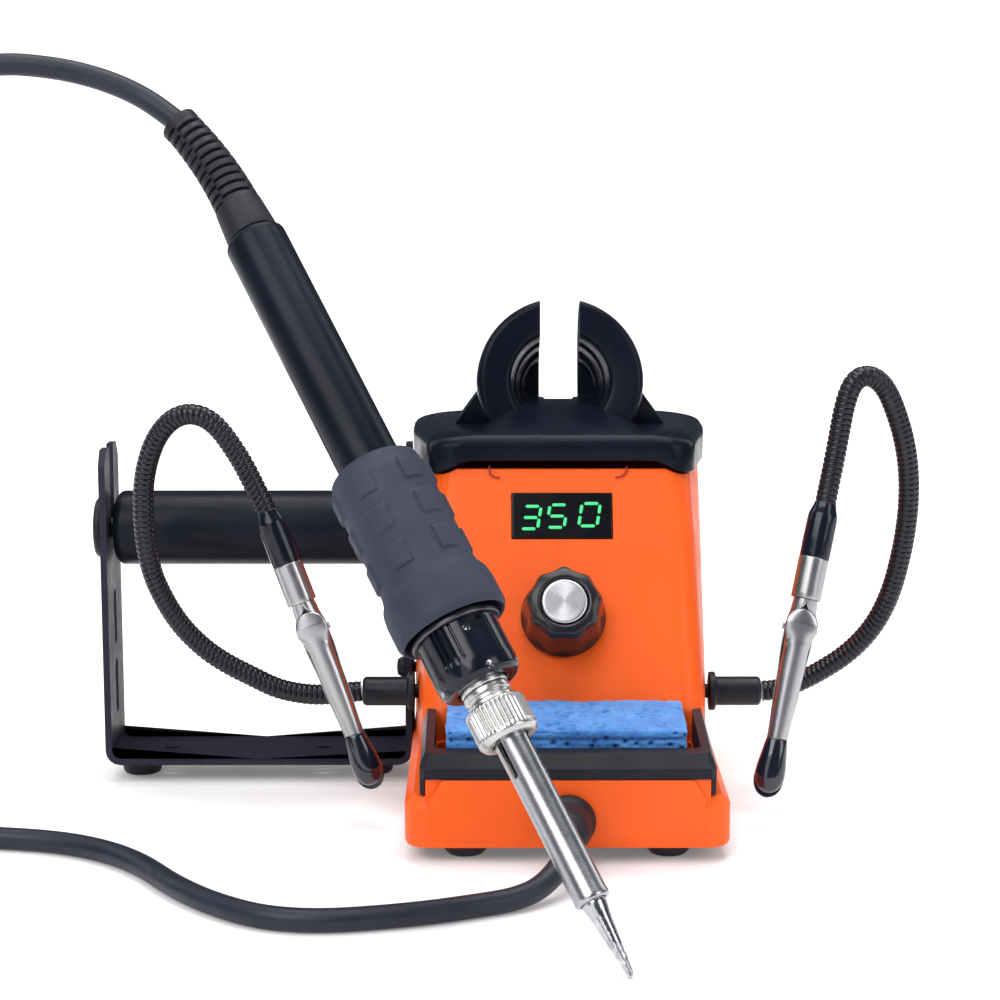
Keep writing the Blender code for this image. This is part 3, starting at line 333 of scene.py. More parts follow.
def strip(rows):
    """Open grid through rows of points in metres."""
    verts = [tuple(p) for row in rows for p in row]
    n = len(rows[0])
    faces = [[k * n + i, k * n + i + 1, (k + 1) * n + i + 1, (k + 1) * n + i] for k in range(len(rows) - 1) for i in range(n - 1)]
    return verts, faces


def moved(shape, matrix):
    return [tuple(matrix @ Vector(v)) for v in shape[0]], shape[1]


def joined(*shapes):
    verts, faces = [], []
    for v, f in shapes:
        n = len(verts)
        verts += v
        faces += [[i + n for i in face] for face in f]
    return verts, faces


def slab(points, z0, z1):
    """Prism over (x, y) points in millimetres, with a small bevel at the top."""
    n = len(points)
    cx, cy = sum(p[0] for p in points) / n, sum(p[1] for p in points) / n
    inner = [(cx + (x - cx) * 0.94, cy + (y - cy) * 0.94) for x, y in points]
    rings = [[Vector((x, y, z0)) / 1000 for x, y in points], [Vector((x, y, z1 - (z1 - z0) * 0.25)) / 1000 for x, y in points], [Vector((x, y, z1)) / 1000 for x, y in inner]]
    return loft(rings)


def block(x0, x1, y0, y1, z0, z1):
    ring = [(x0, y0), (x1, y0), (x1, y1), (x0, y1)]
    return loft([[Vector((x, y, z)) / 1000 for x, y in ring] for z in (z0, z1)])


def route(points, step):
    """Evenly spaced points, step millimetres apart, on a centripetal curve through the given ones in metres."""
    p = [Vector(q) for q in points]
    p = [2 * p[0] - p[1]] + p + [2 * p[-1] - p[-2]]
    fine = []
    for i in range(1, len(p) - 2):
        a, b, c, d = p[i - 1 : i + 3]
        t = [0.0]
        for u, v in ((a, b), (b, c), (c, d)):
            t.append(t[-1] + max((v - u).length, 1e-6) ** 0.5)
        for k in range(24):
            s = t[1] + (t[2] - t[1]) * k / 24
            ab = a * ((t[1] - s) / (t[1] - t[0])) + b * ((s - t[0]) / (t[1] - t[0]))
            bc = b * ((t[2] - s) / (t[2] - t[1])) + c * ((s - t[1]) / (t[2] - t[1]))
            cd = c * ((t[3] - s) / (t[3] - t[2])) + d * ((s - t[2]) / (t[3] - t[2]))
            abc = ab * ((t[2] - s) / (t[2] - t[0])) + bc * ((s - t[0]) / (t[2] - t[0]))
            bcd = bc * ((t[3] - s) / (t[3] - t[1])) + cd * ((s - t[1]) / (t[3] - t[1]))
            fine.append(abc * ((t[2] - s) / (t[2] - t[1])) + bcd * ((s - t[1]) / (t[2] - t[1])))
    fine.append(p[-2])
    run = [0.0]
    for a, b in zip(fine, fine[1:]):
        run.append(run[-1] + (b - a).length)
    count = max(int(round(run[-1] * 1000 / step)), 2)
    out, j = [], 0
    for k in range(count + 1):
        want = run[-1] * k / count
        while j < len(run) - 2 and run[j + 1] < want:
            j += 1
        f = (want - run[j]) / max(run[j + 1] - run[j], 1e-9)
        out.append(fine[j].lerp(fine[j + 1], min(max(f, 0), 1)))
    return out


def eased(points, rounds):
    """The route with its curvature evened out, its ends kept."""
    p = [q.copy() for q in points]
    for _ in range(rounds):
        p = [p[0], p[1]] + [(p[i - 1] + p[i] * 2 + p[i + 1]) / 4 for i in range(2, len(p) - 2)] + [p[-2], p[-1]]
    return p


def sweep(points, radius, segments=20, caps=True):
    """Tube along points in metres; radius(s, angle) in millimetres, s from the start in millimetres."""
    rings, s = [], 0.0
    tangent = (points[1] - points[0]).normalized()
    side = tangent.orthogonal().normalized()
    for k, p in enumerate(points):
        ahead = points[min(k + 1, len(points) - 1)] - points[max(k - 1, 0)]
        new = ahead.normalized()
        side = (tangent.rotation_difference(new).to_matrix() @ side)
        side = (side - new * side.dot(new)).normalized()
        tangent = new
        up = new.cross(side)
        if k:
            s += (p - points[k - 1]).length * 1000
        rings.append([p + (side * math.cos(TAU * i / segments) + up * math.sin(TAU * i / segments)) * (radius(s, TAU * i / segments) / 1000) for i in range(segments)])
    return loft(rings, caps)


def mesh_of(name, shape, sharp=36):
    mesh = bpy.data.meshes.new(name)
    mesh.from_pydata(shape[0], [], shape[1])
    mesh.validate()
    bm = bmesh.new()
    bm.from_mesh(mesh)
    bmesh.ops.recalc_face_normals(bm, faces=bm.faces)
    bm.to_mesh(mesh)
    bm.free()
    mesh.shade_smooth()
    mesh.set_sharp_from_angle(angle=math.radians(sharp))
    return mesh


def piece(name, shape, material, body, slot, *nodes, at=None, sharp=36):
    if at is not None:
        shape = moved(shape, at)
    obj = bpy.data.objects.new(name, mesh_of(name, shape, sharp))
    bpy.context.scene.collection.objects.link(obj)
    obj.data.materials.append(material)
    if body is not None:
        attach(obj, body)
    if nodes:
        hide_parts(*nodes)
    return obj


def boolean(obj, shape, operation="DIFFERENCE", at=None):
    """Cuts or adds a closed shape, and keeps the result as the object's own mesh."""
    if at is not None:
        shape = moved(shape, at)
    other = bpy.data.objects.new("cutter", mesh_of("cutter", shape))
    bpy.context.scene.collection.objects.link(other)
    modifier = obj.modifiers.new("cut", "BOOLEAN")
    modifier.object, modifier.operation, modifier.solver = other, operation, "MANIFOLD"
    bpy.context.view_layer.update()
    graph = bpy.context.evaluated_depsgraph_get()
    result = bpy.data.meshes.new_from_object(obj.evaluated_get(graph))
    obj.modifiers.clear()
    obj.data = result
    bpy.data.objects.remove(other, do_unlink=True)
    result.shade_smooth()
    result.set_sharp_from_angle(angle=math.radians(36))
    return obj


def edges(obj, width, segments=2, angle=34):
    """Rounds the sharp edges as moulding or folding leaves them."""
    modifier = obj.modifiers.new("edges", "BEVEL")
    modifier.width, modifier.segments = width / 1000, segments
    modifier.limit_method, modifier.angle_limit = "ANGLE", math.radians(angle)
    modifier.harden_normals = False
    return obj


def kept(node, material):
    obj = frame["nodes"][node]
    obj.data.materials.clear()
    obj.data.materials.append(material)
    return obj


def recast(node, name, body, material, width, segments=3, crisp=0):
    """The CAD node's own shape with its facets joined into whole faces and its edges rounded, or, with crisp, left
    sharp past that angle.
    """
    bm = bmesh.new()
    bm.from_mesh(frame["nodes"][node].data)
    bmesh.ops.remove_doubles(bm, verts=bm.verts, dist=0.00001)
    if node == "spool_bracket":  # the bar is rolled flat, without the solid's shallow crease
        for v in bm.verts:
            if abs(v.co.x + 0.066) < 0.01 and 0.0069 < v.co.z < 0.0082:
                v.co.z = 0.0068
    bmesh.ops.dissolve_limit(bm, angle_limit=math.radians(0.03), verts=bm.verts, edges=bm.edges)
    mesh = bpy.data.meshes.new(name)
    mesh.from_pydata([tuple(v.co) for v in bm.verts], [], [[v.index for v in f.verts] for f in bm.faces])
    bm.free()
    mesh.shade_smooth()
    obj = bpy.data.objects.new(name, mesh)
    bpy.context.scene.collection.objects.link(obj)
    mesh.materials.append(material)
    if crisp:
        mesh.set_sharp_from_angle(angle=math.radians(crisp))
        normals = obj.modifiers.new("normals", "WEIGHTED_NORMAL")
        normals.keep_sharp, normals.weight = True, 90
    else:
        edges(obj, width, segments, 25)
        obj.modifiers.new("normals", "WEIGHTED_NORMAL")
    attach(obj, body)
    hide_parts(node)
    return obj


# ------------------------------------------------------------------ the iron's cord
TAIL = Vector((-0.4375, 0.4869, 0.7562)).normalized()
IRON = frame_at(mm(11.4, -78.9, 0.35), TAIL)
CORD_SIDE = Vector((-0.98, 0.03, 0.20))
sideways = CORD_SIDE - TAIL * TAIL.dot(CORD_SIDE)
sideways = (IRON.to_3x3().inverted() @ sideways).normalized()


def bent(point):
    """A point of the straight strain relief, in the iron's frame and metres, on its bent axis."""
    over = point.z - 0.212
    if over <= 0:
        return point
    a, r = over / 0.102, 0.102
    z = Vector((0, 0, 1))
    flat = Vector((point.x, point.y, 0))
    along = flat.dot(sideways)
    middle = z * (0.212 + r * math.sin(a)) + sideways * (r * (1 - math.cos(a)))
    return middle + (flat - sideways * along) + (sideways * math.cos(a) - z * math.sin(a)) * along


LOWER = [(-2.6, -24.4, 7.4), (-7.4, -30.6, 4.2), (-13.6, -35.2, 3.0), (-21.5, -38.9, 2.85), (-31.8, -43.4, 2.85), (-45.1, -47.4, 2.85), (-58.6, -49.4, 2.85), (-70.5, -47.0, 2.85), (-82.3, -38.4, 2.85), (-92.9, -26.2, 2.85), (-105.1, -7.8, 2.85), (-114.5, 1.6, 2.85), (-126.0, 8.4, 2.85), (-142.6, 12.6, 2.85), (-165.0, 14.6, 2.85), (-193.8, 15.0, 2.85)]
UPPER = [(-180.8, -15.0, 8.6), (-180.3, -9.0, 9.6), (-178.7, -2.0, 12.2), (-178.6, 6.5, 17.4), (-178.3, 14.5, 27.5), (-178.0, 21.5, 44.0), (-177.5, 27.5, 68.0), (-177.0, 32.0, 97.0), (-176.0, 35.5, 125.0), (-174.0, 38.0, 148.0), (-171.0, 39.8, 165.0), (-166.5, 40.9, 177.5), (-160.0, 41.7, 187.0), (-152.0, 42.1, 193.0), (-142.2, 42.2, 195.1), (-132.2, 42.1, 194.6), (-122.1, 41.8, 192.9), (-112.1, 41.1, 189.7), (-105.0, 40.0, 186.2)]
coil = []
for k in range(45):
    turn = 2.75 * k / 44
    angle = math.pi / 2 + TAU * turn
    if turn <= 1.8:
        r = 36.0 - 5.6 * smoothstep(0.8, 1.0, turn)
    else:
        r = 30.4 + 2.8 * smoothstep(1.8, 2.05, turn)
    z = 2.85 + 4.85 * smoothstep(1.8, 2.05, turn)
    coil.append((-215 + r * math.cos(angle), -21 + r * math.sin(angle), z))
boot_end = mm(0, -16.9, 11.2)
relief_end = IRON @ bent(Vector((0, 0, 0.2413)))
line = route([boot_end, boot_end + Vector((0, -0.005, 0))] + [mm(*p) for p in LOWER + coil + UPPER] + [relief_end], 1.6)
line = eased(line, 6)
cord = piece("iron_cord", sweep(line, lambda s, a: 2.8, 28), cord_m, None, "black_rubber", "cord_lower", "cord_coil", "cord_upper")
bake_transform(cord)

strap = [(26.3, 0.1), (26.3, 5.6), (29.4, 11.5), (37.0, 11.5), (40.1, 5.6), (40.1, 0.1), (39.5, 0.1), (39.5, 5.4), (36.6, 10.95), (29.8, 10.95), (26.9, 5.4), (26.9, 0.1)]
strap = soft([(x, z) for x, z in strap], 1.2, closed=True, steps=3)
tie = loft([[mm(-215 - r, y, z) for r, z in strap] for y in (-24.5, -24.2, -23.0, -19.0, -17.8, -17.5)])
tie = piece("cord_tie_strap", tie, satin_m, "base", "black_satin_plastic", "cord_tie", sharp=50)


# ------------------------------------------------------------------ casing and tray
recast("body_shell", "casing", "base", orange_m, 0.4, crisp=28)
recast("bottom_plate", "base_cover", "base", satin_m, 0.25)
recast("tray_frame", "sponge_tray", "base", tray_m, 0.45)
recast("spool_bracket", "bracket_strap", "base", powder_m, 0.3, crisp=6)
recast("bracket_screw", "bracket_bolt", "base", satin_m, 0.2)
recast("switch_frame", "switch_bezel", "base", satin_m, 0.25)
recast("mains_inlet", "inlet_socket", "base", satin_m, 0.25)
recast("rocker", "rocker_cap", "rocker", satin_m, 0.3)
kept("led_display", module_m)
kept("control_pcb", board_m)
kept("potentiometer", pot_m)
kept("transformer_core", lamination_m)
kept("transformer_coil", copper_m)
kept("heater", ceramic_m)
window_m = moulded("window_acrylic", (0.0022, 0.0022, 0.0028), 0.10, tint=0.15, grain=200.0, depth=0.000004, coat_weight=0.4, coat_roughness=0.04)
recast("display_window", "window_pane", "base", window_m, 0.15)

for name, x, y in (("foot_front_left", -25.4, 10), ("foot_front_right", 25.4, 10), ("foot_back_left", -25.4, 119), ("foot_back_right", 25.4, 119)):
    profile = soft([(0, 0), (4.4, 0), (6.9, 3.0), (6.9, 3.8), (0, 3.8)], 0.5)
    piece(name + "_pad", lathe(profile, 64), rubber_m, "base", "black_rubber", name, at=Matrix.Translation(mm(x, y, 0)))
for name, x in (("bracket_foot_outer", -117.0), ("bracket_foot_inner", -52.0)):
    profile = soft([(0, 0), (4.6, 0), (5.2, 0.5), (5.9, 4.1), (5.9, 4.7), (0, 4.7)], 0.4)
    piece(name + "_pad", lathe(profile, 64), rubber_m, "base", "black_rubber", name, at=Matrix.Translation(mm(x, 84, 0)))

# top cap, with the holder's funnel and its slot
LEAN = math.radians(30)


def panel_y(z):
    return 37.0 + max(z - 30.0, 0.0) * math.tan(LEAN)


def cap_edge(x):
    t = min(max((abs(x) - 24.0) / 11.0, 0.0), 1.0)
    return 89.8 - 3.6 * t * t * (3 - 2 * t)


def tower(z, inset, seam=False, back_r=0.0, front_r=0.0, lift=0.0):
    front, back = panel_y(89.8) + inset / math.cos(LEAN), 127.0 - 0.03 * (89.8 - 14) - inset
    half_front, half_back = 37.2 - 0.032 * (89.8 - 30) - inset, 39.7 - inset
    side = front + 22
    r = max(7.0 - inset, 1.5)
    rf, rb = max(r, front_r), max(r, back_r)
    points = [(x * (half_front - rf) / 28.5, front) for x in (6, 12, 18, 21, 24, 26, 28)]
    for i in range(13):
        a = math.radians(-90 + 90 * i / 12)
        points.append((half_front - rf + rf * math.cos(a), front + rf + rf * math.sin(a)))
    points.append((half_back - 0.6, side + 6))
    points.append((half_back, side + 12))
    for i in range(11):
        a = math.radians(90 * i / 10)
        points.append((half_back - rb + rb * math.cos(a), back - rb + rb * math.sin(a)))
    points += [(-x, y) for x, y in points[::-1]]
    return [mm(x, y, cap_edge(x) + 0.3 + lift if seam else z) for x, y in points]


def rect(x0, x1, y0, y1, r, z, steps=8):
    out = []
    for cx, cy, start in ((x1 - r, y0 + r, -90), (x1 - r, y1 - r, 0), (x0 + r, y1 - r, 90), (x0 + r, y0 + r, 180)):
        for i in range(steps + 1):
            a = math.radians(start + 90 * i / steps)
            out.append(mm(cx + r * math.cos(a), cy + r * math.sin(a), z))
    return out


cap = piece("cap_and_holder", loft([tower(92.6, 1.0), tower(0, -0.9, True), tower(0, -1.2, True, lift=0.3), tower(93.4, -1.4, back_r=10), tower(94.9, -1.15, back_r=13, front_r=9.5), tower(96.1, -0.4, back_r=15, front_r=10.5), tower(96.9, 0.8, back_r=16, front_r=11), tower(97.35, 2.2, back_r=16, front_r=11), tower(97.5, 3.8, back_r=16, front_r=11)]), cap_m, "base", "black_gloss_plastic", "top_cap")
boolean(cap, loft([rect(-23.5, 23.5, 72.0, 112.0, 3, 96.4), rect(-13.5, 13.5, 86.0, 106.0, 3, 103.0)]), "UNION")
for side in (-1, 1):
    # small web that carries the dome's foot out to the cap
    web = [(side * 14.0, 96.6), (side * 29.3, 96.6), (side * 28.8, 97.7), (side * 22.9, 105.8), (side * 14.0, 105.8)]
    boolean(cap, loft([[mm(x, y, z) for x, z in web] for y in (91.5, 101.5)]), "UNION")
HOLDER = frame_at(mm(0, 97.0, 107.6), (0, -math.cos(math.radians(14)), math.sin(math.radians(14))))
dome = [(4.6, -15.0), (9.4, -15.4), (15.5, -14.0), (20.0, -9.0), (22.6, -1.5), (23.1, 5.0), (22.9, 9.8), (22.3, 10.9), (21.2, 11.4), (14.6, 10.9), (13.6, 10.0), (13.0, 7.0), (12.7, 4.0), (11.9, 3.0), (11.3, -3.0), (10.2, -4.0), (9.4, -8.0), (4.6, -10.5)]
boolean(cap, lathe(soft(dome, 0.55, closed=True, steps=3), 96, closed=True), "UNION", HOLDER)
boolean(cap, joined(block(-30, 30, 77.5, 121, 70, 92.4)), "DIFFERENCE", Matrix.Translation(mm(0, 0, 0)))
boolean(cap, loft([rect(-32, 32, 80, 119, 5, 90.6), rect(-31, 31, 81, 118, 5, 95.2)]))
boolean(cap, block(-5.5, 5.5, 60, 140, 102.6, 150), "DIFFERENCE", Matrix.Translation(mm(0, 0, 0)))
edges(cap, 0.35, 3, 40)

# ------------------------------------------------------------------ panel: display, print, knob
PANEL = frame_at(mm(0, 37, 30), (0, -math.cos(LEAN), math.sin(LEAN)))
SEGMENTS = {"a": ((0.12, 1), (0.88, 1)), "b": ((1, 0.94), (1, 0.56)), "c": ((1, 0.44), (1, 0.06)), "d": ((0.12, 0), (0.88, 0)), "e": ((0, 0.44), (0, 0.06)), "f": ((0, 0.94), (0, 0.56)), "g": ((0.12, 0.5), (0.88, 0.5))}
DIGITS = {"3": "abcdg", "5": "acdfg", "0": "abcdef"}
lit = Shader("led_green", (0.01, 0.30, 0.10), 0.3)
lit.colour(lit.mix(lit.ramp(lit.noise(900.0, 3.0), 0.3, 0.7), (0.008, 0.26, 0.08), (0.02, 0.36, 0.13)))
glow = lit.mix(lit.ramp(lit.noise(1600.0, 2.0), 0.3, 0.7), (0.020, 0.50, 0.135), (0.055, 0.74, 0.23))
lit.l.new(glow, lit.b.inputs["Emission Color"])
lit.b.inputs["Emission Strength"].default_value = 0.95
bars = []
for digit, x0, x1, low, high in (("3", -11.3, -6.6, 49.6, 56.0), ("5", -4.2, 0.5, 50.0, 56.4), ("0", 4.4, 9.3, 50.4, 56.8)):
    for key in DIGITS[digit]:
        (ax, ay), (bx, by) = SEGMENTS[key]
        lean = 0.16 * (high - low)
        a = Vector((x0 + (x1 - x0) * ax + lean * ay, low + (high - low) * ay))
        b = Vector((x0 + (x1 - x0) * bx + lean * by, low + (high - low) * by))
        u = (b - a).normalized()
        v = Vector((-u.y, u.x)) * 0.42
        shape = [a - u * 0.10, a + v + u * 0.25, b + v - u * 0.25, b + u * 0.10, b - v - u * 0.25, a - v + u * 0.25]
        bars.append(slab([tuple(p) for p in shape][::-1], 0.36, 0.44))
piece("display_digits", joined(*bars), lit.m, "base", "display_module", at=PANEL)

marks = []
for path in (((-19.45, 67.8), (-19.45, 66.3), (-19.1, 65.4), (-18.5, 64.9), (-17.7, 64.55), (-16.6, 64.4)), ((17.55, 67.6), (17.55, 66.3), (17.0, 65.4), (16.3, 64.9), (15.5, 64.6), (14.4, 64.5))):
    points = route([Vector((x, y, 0.03)) / 1000 for x, y in path], 0.25)
    rows = []
    for k, p in enumerate(points):
        t = (points[min(k + 1, len(points) - 1)] - points[max(k - 1, 0)]).normalized()
        n = Vector((-t.y, t.x, 0)) * 0.00024
        up = Vector((0, 0, 0.0001))
        rows.append([p - n, p - n * 0.7 + up, p + n * 0.7 + up, p + n])
    marks.append(loft(rows))
piece("panel_lines", joined(*marks), print_m, "base", "orange_plastic", at=PANEL)

KNOB = frame_at(PANEL @ Vector((0, 0.0248, 0)), (0, -math.cos(LEAN), math.sin(LEAN)))


def scallops(r, z, a):
    body = smoothstep(1.6, 3.4, z) * (1 - 0.7 * smoothstep(12.6, 14.0, z)) if r > 7.6 else 0.0
    pointer = math.exp(-(((a - math.pi / 2 + math.pi) % TAU - math.pi) / 0.13) ** 2)
    lobe = (0.5 - 0.5 * math.cos((a - math.pi / 2) * 9)) ** 0.8
    return -0.6 * lobe * body * (1 - pointer) + 0.3 * pointer * body, 0.0


profile = soft([(3.3, 0.6), (11.2, 0.6), (11.25, 1.6), (11.0, 2.3), (10.85, 3.4), (9.9, 12.2), (8.9, 13.7), (7.0, 14.1), (6.3, 13.9), (6.25, 12.9), (0, 12.9)], 0.5, steps=4)
piece("knob_body", lathe(dense(profile, 0.7), 180, scallops), knob_m, "knob", "black_gloss_plastic", "knob", at=KNOB)

spun = Shader("spun_aluminium", (0.80, 0.80, 0.815), 0.30, 1.0, anisotropic=0.85)
centre = KNOB @ Vector((0, 0, 0.0143))
offset = spun.n.new("ShaderNodeVectorMath")
offset.operation = "SUBTRACT"
offset.inputs[1].default_value = centre
spun.l.new(spun.coord.outputs["Object"], offset.inputs[0])
length = spun.n.new("ShaderNodeVectorMath")
length.operation = "LENGTH"
spun.l.new(offset.outputs["Vector"], length.inputs[0])
cross = spun.n.new("ShaderNodeVectorMath")
cross.operation = "CROSS_PRODUCT"
cross.inputs[1].default_value = tuple(KNOB.to_3x3().col[2])
spun.l.new(offset.outputs["Vector"], cross.inputs[0])
spun.l.new(cross.outputs["Vector"], spun.b.inputs["Tangent"])
rings = spun.n.new("ShaderNodeTexNoise")
rings.noise_dimensions = "1D"
rings.inputs["Scale"].default_value = 9000.0
rings.inputs["Detail"].default_value = 4.0
spun.l.new(length.outputs["Value"], rings.inputs["W"])
spun.colour(spun.mix(spun.ramp(rings.outputs["Fac"], 0.3, 0.7), (0.46, 0.46, 0.475), (0.72, 0.72, 0.735)))
spun.rough(spun.ramp(rings.outputs["Fac"], 0.3, 0.7, 0.24, 0.36))
spun.bump(rings.outputs["Fac"], 0.000006, 0.8)
profile = dense(soft([(6.0, 13.0), (6.0, 14.0), (5.6, 14.3), (0, 14.3)], 0.2), 0.4)
piece("knob_face", lathe(profile, 128), spun.m, "knob", "stainless_steel", "knob_inlay", at=KNOB)

tick_angle = math.radians(194)
tick = []
for z in (4.6, 6.4, 8.2, 9.8):
    r = 10.85 - (z - 3.4) * 0.108 - 0.72
    row = []
    for d, q in ((-0.055, -0.1), (-0.045, 0.12), (0.045, 0.12), (0.055, -0.1)):
        a = tick_angle + d
        row.append(Vector(((r + q) * math.cos(a), (r + q) * math.sin(a), z)) / 1000)
    tick.append(row)
piece("knob_mark", loft(tick), tick_m, "knob", "black_gloss_plastic", at=KNOB)

# ------------------------------------------------------------------ front boot of the cord
def boot_axis(z):
    """Middle of the boot at a distance from its flange, on a straight axis."""
    return Vector((0, -0.3 - z, 11.2))


profile = dense(soft([(0, 0.35), (6.7, 0.35), (6.9, 1.2), (6.6, 2.6), (5.9, 3.4), (5.5, 8.5), (4.3, 15.0), (3.5, 16.2), (0, 16.2)], 0.5, steps=3), 0.4)


def boot_rings(r, z, a):
    if 11.0 < z < 15.4 and r > 3:
        return -0.28 * (0.5 - 0.5 * math.cos(TAU * (z - 11.0) / 2.2)) ** 2, 0.0
    return 0.0, 0.0


piece("boot_sleeve", lathe(profile, 72, boot_rings), rubber_m, "base", "black_rubber", "cord_boot", at=frame_at(mm(0, -0.3, 11.2), (0, -1, 0)))

# ------------------------------------------------------------------ spool roller
ROLL = Matrix.Translation(mm((-125.4 + 1.8 - 40.8 - 1.8) / 2, 84, 69.6)) @ Matrix.Rotation(math.pi / 2, 4, "Y")
profile = soft([(3.1, -39.4), (8.4, -39.4), (10.2, -37.6), (10.2, 38.2), (9.0, 39.4), (3.1, 39.4)], 0.9, closed=True, steps=4)
piece("roller_tube", lathe(profile, 96, closed=True), roller_m, "roller", "black_satin_plastic", "spool_roller", at=ROLL)
profile = soft([(0, -44.9), (7.6, -44.9), (8.2, -44.3), (8.2, -42.9), (2.8, -42.9), (2.8, 41.9), (0, 41.9)], 0.35, steps=3)
piece("roller_axle", lathe(profile, 72), satin_m, "roller", "black_satin_plastic", "roller_spindle", at=ROLL)

# ------------------------------------------------------------------ helping hands
NECKS = {
    "left": [(-53.95, 60, 29), (-58.5, 60, 28.6), (-64.9, 59.8, 28), (-70.5, 59.6, 28.5), (-76.9, 59.2, 30.1), (-82.6, 58.7, 33.1), (-89.6, 58.2, 36.9), (-94.5, 57.7, 40.3), (-98.1, 57.2, 43.7), (-101.1, 56.7, 47.1), (-103.4, 56.2, 50.5), (-105.3, 55.7, 53.9), (-106.8, 55.2, 57.3), (-108.2, 54.7, 60.6), (-109.7, 53.8, 67.3), (-110.4, 52.9, 74.4), (-110.4, 52, 81.3), (-109.9, 51.2, 88), (-108.6, 50.5, 93.4), (-106.6, 49.7, 98.6), (-104.5, 49.2, 101.8), (-101.2, 48.7, 104.9), (-96.8, 48, 106.1), (-92.6, 47.2, 104.9), (-89.2, 46.6, 101.9), (-87.2, 46.1, 99.3), (-85.5, 45.7, 96.8), (-83.8, 45.2, 94.2), (-82.4, 44.8, 91.7), (-81.1, 44.4, 89.1), (-79.8, 44, 86.5), (-78.3, 43.5, 83.5), (-76.8, 43, 80.4)],
    "right": [(53.95, 60, 29), (57.8, 60, 29.2), (61.8, 59.8, 30.6), (65.7, 59.5, 32.5), (70.4, 59, 35.3), (75.6, 58.4, 39), (79.7, 57.8, 43), (82.7, 57.2, 46.9), (84.9, 56.6, 50.9), (86.5, 56, 54.8), (87.7, 55.4, 58.7), (88.6, 54.8, 62.7), (89.3, 54.2, 66.6), (89.9, 53.6, 70.4), (90.3, 53, 74.3), (90.6, 52.4, 78.2), (90.7, 51.8, 82), (90.6, 51.2, 85.8), (90.3, 50.6, 89.6), (89.8, 50, 93.4), (89, 49.4, 97.2), (88, 48.8, 101), (86.7, 48.2, 104.7), (85.2, 47.6, 108.5), (83.4, 47, 112.2), (81, 46.5, 115.1), (77.8, 46, 116.5), (75.2, 45.6, 115.4), (73.7, 45.2, 112.9), (72.6, 45.1, 109.4), (71.8, 45, 105.5), (71.2, 44.9, 101.6), (70.6, 44.7, 98.1), (69.9, 44.3, 94.5), (69.2, 43.8, 90.9), (68.4, 43.1, 87.3), (67.4, 42, 82.6)],
}
ENDS = {"left": (-48.7, 33.0, 8.7), "right": (51.6, 24.5, 11.8)}
nickel_m = metal("nickel_sheet", (0.44, 0.44, 0.445), 0.30, tint=0.08)

PITCH = 1.45


def neck_radius(s, a):
    """Wound strip: a round-backed rib with a narrow groove, climbing one pitch a turn."""
    phase = (s / PITCH - a / TAU) % 1.0
    groove = smoothstep(0.0, 0.16, phase) * (1 - smoothstep(0.84, 1.0, phase))
    return 2.28 + 0.47 * groove ** 0.7


